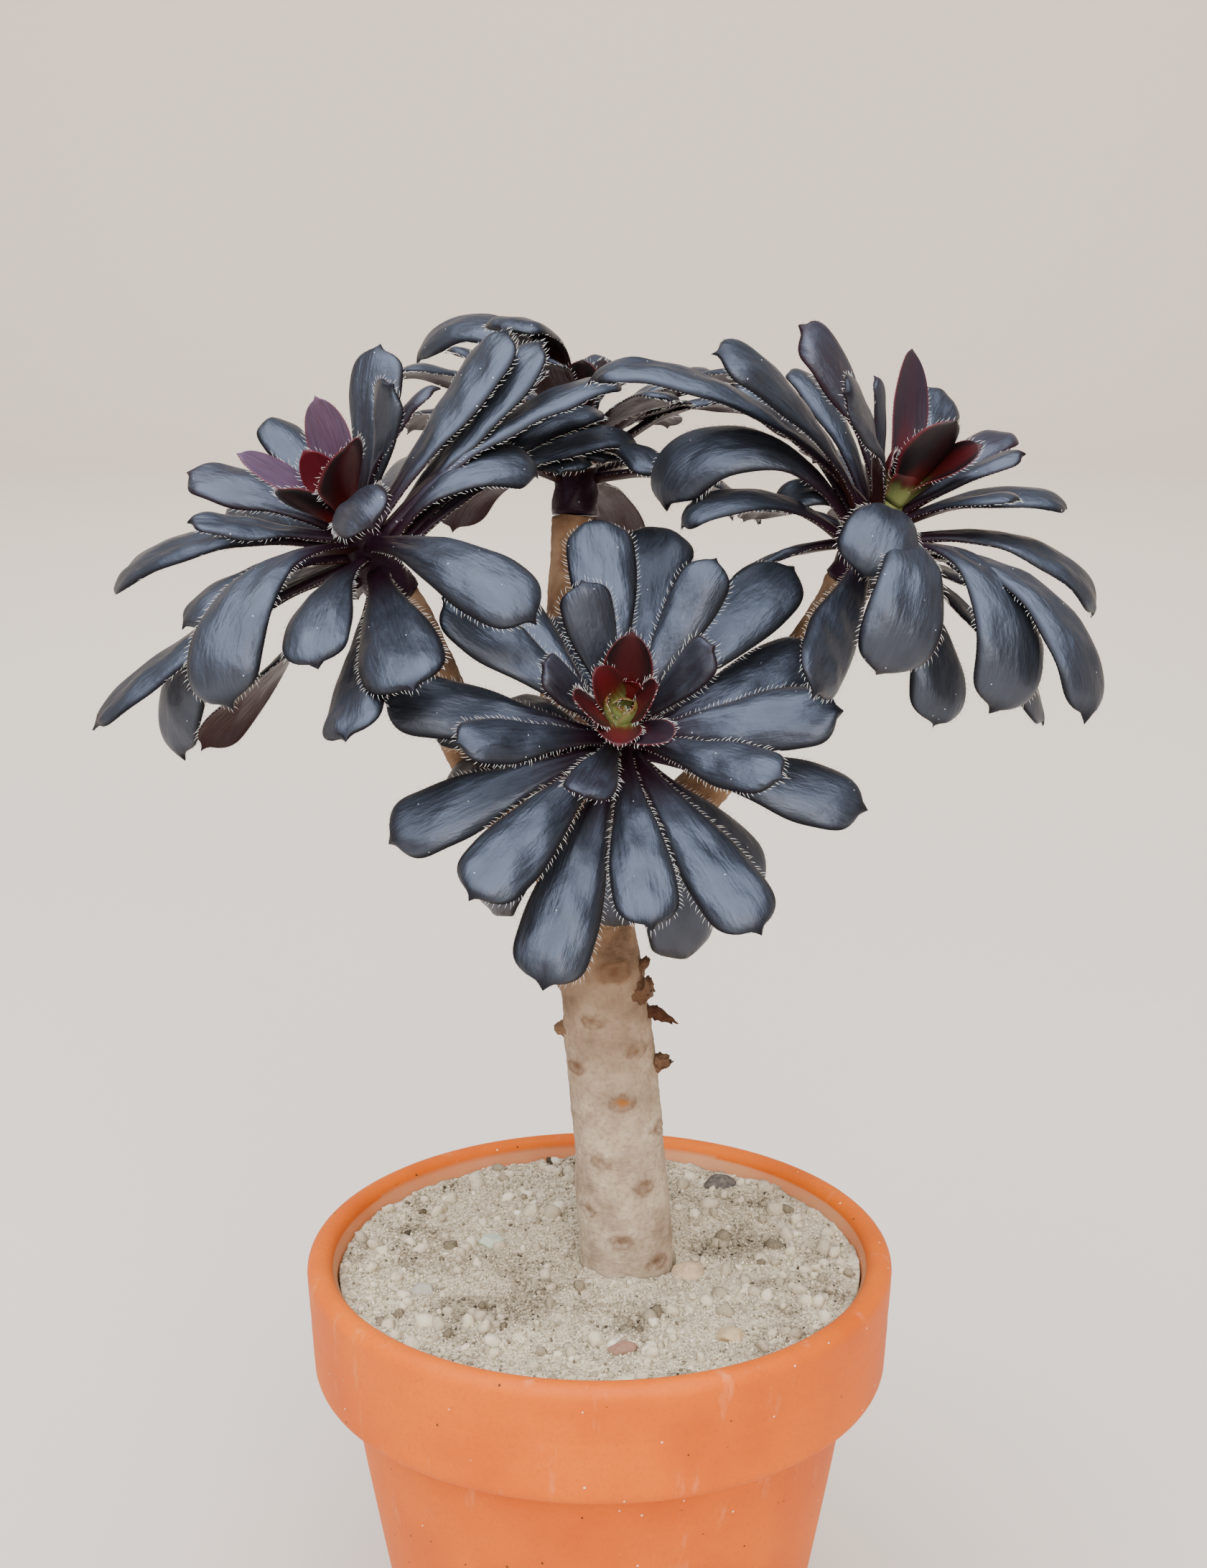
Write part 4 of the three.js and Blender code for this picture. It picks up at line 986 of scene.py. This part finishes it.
def terracotta():
    material, tree = new_material("terracotta_pressed_and_fired", {"IOR": 1.5, "Specular IOR Level": 0.2})
    place = add(tree, "TexCoord").outputs["Object"]
    cloud = add(tree, "TexNoise", {"Vector": place, "Scale": 1 / (34 * MM), "Detail": 4}).outputs["Fac"]
    clay = add(tree, "ValToRGB", {0: cloud}, stops=[
        (0.32, "#C85600"), (0.5, "#D46000"), (0.68, "#DE6A00")]).outputs[0]
    grain = add(tree, "TexNoise", {"Vector": place, "Scale": 1 / (0.9 * MM), "Detail": 3}).outputs["Fac"]
    grained = add(tree, "MapRange", {"Value": grain, "From Min": 0.5, "From Max": 0.8, "To Max": 0.3})
    slanted = add(tree, "Mapping", {"Vector": place, "Rotation": (0.3, 0.4, 0), "Scale": (1, 1, 0.25)})
    scuffs = add(tree, "TexNoise", {"Vector": slanted.outputs[0], "Scale": 1 / (7 * MM), "Detail": 6,
                                    "Roughness": 0.65}).outputs["Fac"]
    scuffed = add(tree, "MapRange", {"Value": scuffs, "From Min": 0.6, "From Max": 0.78, "To Max": 0.45})
    dust = add(tree, "Attribute", attribute_name="dust").outputs["Fac"]
    colour = layered(
        tree, clay,
        (grained.outputs[0], "#A84606"),
        (scuffed.outputs[0], "#E3A074"),
        (speckle(tree, place, 4.5, 0.075, 0.45), "#F0D9BC"),
        (speckle(tree, place, 4.8, 0.09, 0.4), "#5A3014"),
        (times(tree, dust, cloud), "#B89A7A"))
    rough = add(tree, "MapRange", {"Value": cloud, "To Min": 0.5, "To Max": 0.66}).outputs[0]
    bump = add(tree, "Bump", {"Height": grain, "Strength": 0.25, "Distance": 0.15 * MM}).outputs[0]
    return finished(material, {"Base Color": colour, "Roughness": rough, "Normal": bump})


TERRACOTTA = terracotta()
pot_points_flat = pot_points.reshape(-1, 3)
inside = np.hypot(*pot_points_flat[:, :2].T) < inner_radius(pot_points_flat[:, 2]) + 1
dust = inside * smooth_step(POT.height - pot_points_flat[:, 2], 1, 3.5)
new_piece("pot_turned", pot_points_flat, closed_rings(*pot_points.shape[:2]), TERRACOTTA,
          {"dust": dust}, "pot")

# %% [markdown]
# ## The soil
# Potting grit is sand, crumbs and small stones. From a step away it reads as a surface with grain, so it
# is made in three layers: a fine bed that fills the pot and is roughened by noise, thousands of loose
# grains with real faces, and larger crumbs that gather near the rim. Loose grains catch the light on
# their own and break up the edge against the clay, which a bump alone can't do. The bed's rings run from
# the trunk's hole to the pot's wall, so the bed keeps its real hole.

# %% The bed of grit
SOIL = SimpleNamespace(level=128, relief=0.54, mound=1.2, mound_reach=24, gap=0.3, rings=84, turns=320,
                       wall_top=118, sunk=0.15)
TRUNK_FOOT = SimpleNamespace(place=np.array([7.3, 0.0]), radius=12.5, bottom=77.7)
# Clods of a few millimetres, by size and height, and the size of the patches of bare dark earth.
CLODS = [(9, 0.9), (3, 0.65)]
EARTH_PATCH = 17
# The grit has sunk a little round each stone of the frame. Each is kept as x, y and half width.
DIP = 1.0
STONES = {"pebble_pale": "#B9C4AE", "pebble_buff": "#C6A987", "pebble_red": "#8B6350",
          "pebble_dark": "#47423F", "pebble_grey": "#ABA597", "pebble_tan": "#C4AA80"}
STONE_BOXES = {name: np.array(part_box(name)) / MM for name in STONES}
STONE_PLACES = [(*box.mean(axis=0)[:2], (box[1] - box[0])[:2].mean() / 2) for box in STONE_BOXES.values()]


def soil_height(x, y):
    """The grit's level: low waves, a small mound round the trunk, clods, and a dip round each stone."""
    waves = np.sin(x / 9 + 1) * np.cos(y / 11) + 0.6 * np.sin(x / 5 - y / 7)
    from_trunk = np.hypot(x - TRUNK_FOOT.place[0], y - TRUNK_FOOT.place[1])
    level = SOIL.level + SOIL.relief * waves + SOIL.mound * np.exp(-((from_trunk / SOIL.mound_reach) ** 2))
    places = np.column_stack([x, y, np.zeros(len(x))])
    rough = sum(height * perlin(places, size, 2) for size, height in CLODS)
    for stone_x, stone_y, half in STONE_PLACES:
        near = np.exp(-((np.hypot(x - stone_x, y - stone_y) / (half + 1.5)) ** 4))
        rough = rough * (1 - near) - DIP * near
    return level + rough


def bare_earth(x, y):
    """How dark the grit lies: in patches of bare dark earth, and darker towards the wall."""
    places = np.column_stack([x, y, np.full(len(x), 40.0)])
    from_wall = float(inner_radius(SOIL.level)) - np.hypot(x, y)
    return smooth_step(perlin(places, EARTH_PATCH, 4) + 0.5 * np.exp(-from_wall / 6), 0.05, 0.8)


def soil_ring(share, height):
    """A ring part of the way from the trunk's hole, at 0, to the pot's wall, at 1."""
    angle = 2 * math.pi * np.arange(SOIL.turns) / SOIL.turns
    outer = float(inner_radius(height)) - 2 * SOIL.gap
    middle = TRUNK_FOOT.place * (1 - share)
    radius = TRUNK_FOOT.radius + (outer - TRUNK_FOOT.radius) * share
    return np.stack([middle[0] + radius * np.cos(angle), middle[1] + radius * np.sin(angle),
                     np.full(SOIL.turns, float(height))], axis=-1)


def soil_bed():
    """Rings down the trunk's hole, out over the bottom, up the wall and back over the top."""
    hole = [soil_ring(0, z) for z in (110, TRUNK_FOOT.bottom)]
    bottom = [np.column_stack([TRUNK_FOOT.place + (soil_ring(0, 0)[:, :2] - TRUNK_FOOT.place) * share,
                               np.full(SOIL.turns, float(z))])
              for share, z in ((0.05, TRUNK_FOOT.bottom), (0.05, POT.floor + SOIL.gap))]
    wall = [soil_ring(1, z) for z in np.linspace(POT.floor + SOIL.gap, SOIL.wall_top, 8)]
    top = [soil_ring(share, SOIL.level) for share in np.linspace(1, 0, SOIL.rings)]
    for ring in top:
        ring[:, 2] = soil_height(ring[:, 0], ring[:, 1]) - SOIL.sunk
    return np.stack(hole + bottom + wall + top)


bed = soil_bed()
print("soil bed:", bed.shape[0], "rings, top from", bed[-SOIL.rings:, :, 2].min().round(1), "to",
      bed[-SOIL.rings:, :, 2].max().round(1), "mm")

# %% [markdown]
# ## Sand and its grains
# Sand is broken quartz and feldspar: matt, with each grain its own tint between white, buff and grey,
# and a few near-black ones. Damp dark earth shows between the grains. Each loose grain keeps one tint
# on all its points, which the material reads through a colour ramp. The bed has grain of 0.5 to 1 mm,
# and its points keep how dark the grit lies, in patches and towards the wall, so that the dark places
# lie at the same places on both.

# %% Sand colours
SAND = [(0.0, "#453C2F"), (0.15, "#786D59"), (0.35, "#A2967E"), (0.6, "#C6B99F"), (0.85, "#DACFB8"),
        (1.0, "#F0E8D8")]


def sand(name, tint):
    """Sand whose tint comes from the loose grains' own value, or from noise on the bed."""
    material, tree = new_material(name, {"IOR": 1.5, "Specular IOR Level": 0.2, "Roughness": 0.95})
    place = add(tree, "TexCoord").outputs["Object"]
    fine = add(tree, "TexNoise", {"Vector": place, "Scale": 1 / (0.6 * MM), "Detail": 2}).outputs["Fac"]
    if tint == "noise":
        cells = add(tree, "TexVoronoi", {"Vector": place, "Scale": 1 / (0.7 * MM)}).outputs["Color"]
        cell = add(tree, "SeparateColor", {0: cells}).outputs[0]
        own = add(tree, "MapRange", {"Value": cell, "To Min": 0.25, "To Max": 0.6}).outputs[0]
    else:
        own = add(tree, "Attribute", attribute_name=tint).outputs["Fac"]
    grained = add(tree, "Math", {0: fine, 1: 0.25, 2: own}, operation="MULTIPLY_ADD").outputs[0]
    earth = add(tree, "Attribute", attribute_name="earth").outputs["Fac"]
    value = add(tree, "Math", {0: earth, 1: -0.27, 2: grained}, operation="MULTIPLY_ADD").outputs[0]
    bump = add(tree, "Bump", {"Height": fine, "Strength": 0.8, "Distance": 0.35 * MM}).outputs[0]
    return finished(material, {"Base Color": add(tree, "ValToRGB", {0: value}, stops=SAND).outputs[0],
                               "Normal": bump})


SAND_BED = sand("grit_bed_sandy_and_dry", "noise")
SAND_GRAIN = sand("grit_grain_broken_quartz", "tint")
bed_points = bed.reshape(-1, 3)
new_piece("soil_bed", bed_points, closed_rings(*bed.shape[:2]), SAND_BED,
          {"earth": bare_earth(bed_points[:, 0], bed_points[:, 1])}, "soil")

# %% [markdown]
# ## Loose grains
# A grain of sand is a broken bit with a few flat faces, so an octahedron pulled out of shape is enough at
# this size, and thousands of them stay light. Crumbs of damp earth are larger and rounder, from a small
# ball. Each is stretched, turned and set half into the bed at its own place by a seeded random draw.

# %% Loose grains and crumbs
def lumps(shape, places, sizes, draw):
    """Copies of a small closed shape, each stretched and turned its own way."""
    corners, triangles = shape
    stretch = sizes[:, None] * draw.uniform(0.65, 1.2, (len(places), 3))
    turns = unit(draw.normal(size=(len(places), 4)))
    w, x, y, z = turns.T
    spin = np.stack([
        np.stack([1 - 2 * (y * y + z * z), 2 * (x * y - z * w), 2 * (x * z + y * w)], -1),
        np.stack([2 * (x * y + z * w), 1 - 2 * (x * x + z * z), 2 * (y * z - x * w)], -1),
        np.stack([2 * (x * z - y * w), 2 * (y * z + x * w), 1 - 2 * (x * x + y * y)], -1)], 1)
    jitter = 1 + draw.uniform(-0.25, 0.25, (len(places), len(corners), 1))
    shapes = np.einsum("nij,nkj->nki", spin, corners[None] * jitter * stretch[:, None])
    faces = (triangles[None] + (np.arange(len(places)) * len(corners))[:, None, None]).reshape(-1, 3)
    return (shapes + places[:, None]).reshape(-1, 3), faces.tolist()


def ball(divisions):
    """Points and triangles of a unit ball cut from an icosahedron."""
    mesh = bmesh.new()
    bmesh.ops.create_icosphere(mesh, subdivisions=divisions, radius=1)
    corners = np.array([v.co for v in mesh.verts])
    triangles = np.array([[v.index for v in face.verts] for face in mesh.faces])
    mesh.free()
    return corners, triangles


OCTAHEDRON = (
    np.array([[1, 0, 0], [-1, 0, 0], [0, 1, 0], [0, -1, 0], [0, 0, 1], [0, 0, -1]], float),
    np.array([[0, 2, 4], [2, 1, 4], [1, 3, 4], [3, 0, 4], [2, 0, 5], [1, 2, 5], [3, 1, 5], [0, 3, 5]]))


def scatter(count, draw, toward_rim=0.0):
    """Places on the bed between the trunk and the wall. toward_rim gathers them at the wall."""
    reach = float(inner_radius(SOIL.level)) - 2.2
    radius = reach * draw.uniform(0, 1, 2 * count) ** (0.5 / (1 + toward_rim))
    angle = draw.uniform(0, 2 * math.pi, 2 * count)
    x, y = radius * np.cos(angle), radius * np.sin(angle)
    free = np.hypot(x - TRUNK_FOOT.place[0], y - TRUNK_FOOT.place[1]) > TRUNK_FOOT.radius + 0.8
    return x[free][:count], y[free][:count]


def loose(name, shape, count, size_range, toward_rim, seed):
    """A piece of loose grains lying half in the bed, each with a tint of its own."""
    draw = np.random.default_rng(seed)
    x, y = scatter(count, draw, toward_rim)
    low, high = size_range
    sizes = low + (high - low) * draw.uniform(0, 1, count) ** 2.4
    places = np.stack([x, y, soil_height(x, y) + 0.1 * sizes], axis=1)
    shape_points, faces = lumps(shape, places, sizes, draw)
    tint = np.clip(draw.normal(0.46, 0.15, count), 0.02, 0.95)
    tint = np.where(draw.uniform(0, 1, count) < 0.03, 0.0, tint)
    corners = len(shape[0])
    new_piece(name, shape_points, faces, SAND_GRAIN,
              {"tint": np.repeat(tint, corners), "earth": np.repeat(bare_earth(x, y), corners)})


loose("sand_grains", OCTAHEDRON, 22000, (0.2, 0.66), 0.0, 31)
loose("soil_crumbs", ball(2), 600, (0.5, 2.3), 0.4, 32)

# %% [markdown]
# ## The stones
# Six stones in the grit are big enough to tell apart. A stone that has been broken and then worn has
# flat faces with soft edges. A ball whose points are pulled in to a few random planes gives that at once,
# and noise roughens the planes. Each keeps its node's place and size, with a mineral colour of its own.

# %% The stones
def stone_finish(name, colour):
    material, tree = new_material(name + "_worn_stone", {"IOR": 1.5, "Specular IOR Level": 0.3})
    place = add(tree, "TexCoord").outputs["Object"]
    grain = add(tree, "TexNoise", {"Vector": place, "Scale": 1 / (1.1 * MM), "Detail": 5}).outputs["Fac"]
    share = add(tree, "MapRange", {"Value": grain, "From Min": 0.35, "From Max": 0.75, "To Max": 0.55})
    rough = add(tree, "MapRange", {"Value": grain, "To Min": 0.7, "To Max": 0.95}).outputs[0]
    bump = add(tree, "Bump", {"Height": grain, "Strength": 0.6, "Distance": 0.3 * MM}).outputs[0]
    return finished(material, {"Base Color": layered(tree, colour, (share.outputs[0], "#8D8274")),
                               "Roughness": rough, "Normal": bump})


def stone(name, colour, seed):
    """A ball cut by random planes, roughened, and fitted to its node's box."""
    draw = np.random.default_rng(seed)
    corners, triangles = ball(4)
    for plane in unit(draw.normal(size=(11, 3))):
        past = corners @ plane - draw.uniform(0.62, 0.85)
        corners = corners - np.outer(np.clip(past, 0, None) * 0.9, plane)
    corners = corners * (1 + 0.04 * perlin(corners * 8 + seed, 3, 3)[:, None])
    low, high = STONE_BOXES[name]
    spread = (corners - corners.min(0)) / np.ptp(corners, axis=0)
    new_piece(name + "_stone", low + spread * (high - low), triangles.tolist(), stone_finish(name, colour),
              replaced=name)


for number, (name, colour) in enumerate(STONES.items()):
    stone(name, colour, 40 + number)

# %% [markdown]
# ## Floor and light
# The part stands on a plain pale floor. The floor is a wide disc whose edge curves up like a studio's
# cove, so that no horizon cuts the picture from any side. The light is soft, as under an open sky: one
# large panel overhead does most of the work, because the waxy leaves mirror it as their broad sheen. A
# smaller warm one in front lights the pot's face, and a third lights only the cove's far wall.

# %% The cove and the lights
COVE = SimpleNamespace(flat=3.6, rise=1.6, height=3.4, steps=24, turns=96)


def cove():
    """A flat disc with an edge that curves up, in metres."""
    angle = np.linspace(0, math.pi / 2, COVE.steps)
    radius = [0.0, *(COVE.flat + COVE.rise * np.sin(angle)), COVE.flat + COVE.rise]
    height = [0.0, *(COVE.rise * (1 - np.cos(angle))), COVE.height]
    around = 2 * math.pi * np.arange(COVE.turns) / COVE.turns
    points = [(r * math.cos(a), r * math.sin(a), h) for r, h in zip(radius[1:], height[1:]) for a in around]
    starts = [ring * COVE.turns for ring in range(len(radius) - 1)]
    faces = [face for low, high in zip(starts, starts[1:]) for face in between_rings(COVE.turns, high, low)]
    faces.append(tuple(range(COVE.turns)))
    mesh = bpy.data.meshes.new("cove")
    mesh.from_pydata(points, [], faces)
    mesh.shade_smooth()
    paint, _ = new_material("painted_cove_matt", {"Base Color": linear("#D6CBBE"), "Roughness": 0.95})
    mesh.materials.append(paint)
    floor = bpy.data.objects.new("cove", mesh)
    bpy.context.scene.collection.objects.link(floor)


def light(name, place, toward, size, power, colour):
    """A square panel of soft light, placed and aimed in metres."""
    panel = bpy.data.lights.new(name, "AREA")
    panel.size = size
    panel.energy = power
    panel.color = linear(colour)[:3]
    lamp = bpy.data.objects.new(name, panel)
    lamp.location = place
    lamp.rotation_euler = (Vector(toward) - Vector(place)).to_track_quat("-Z", "Y").to_euler()
    bpy.context.scene.collection.objects.link(lamp)


cove()
light("overhead_panel", (-0.3, -0.9, 2.6), (0, 0, 0.2), 4.0, 300, "#F4F7FF")
light("front_panel", (0.5, -2.9, 1.5), (0, 0, 0.2), 1.8, 75, "#FFF3E4")
light("backdrop_panel", (0, 2.2, 3.2), (0, 5.2, 0.9), 2.4, 150, "#FFF6EC")
world = bpy.data.worlds.new("soft_sky")
world.use_nodes = True
world.node_tree.nodes["Background"].inputs["Color"].default_value = linear("#DCE3EE")
world.node_tree.nodes["Background"].inputs["Strength"].default_value = 0.2
bpy.context.scene.world = world
print("cove and lights are set")
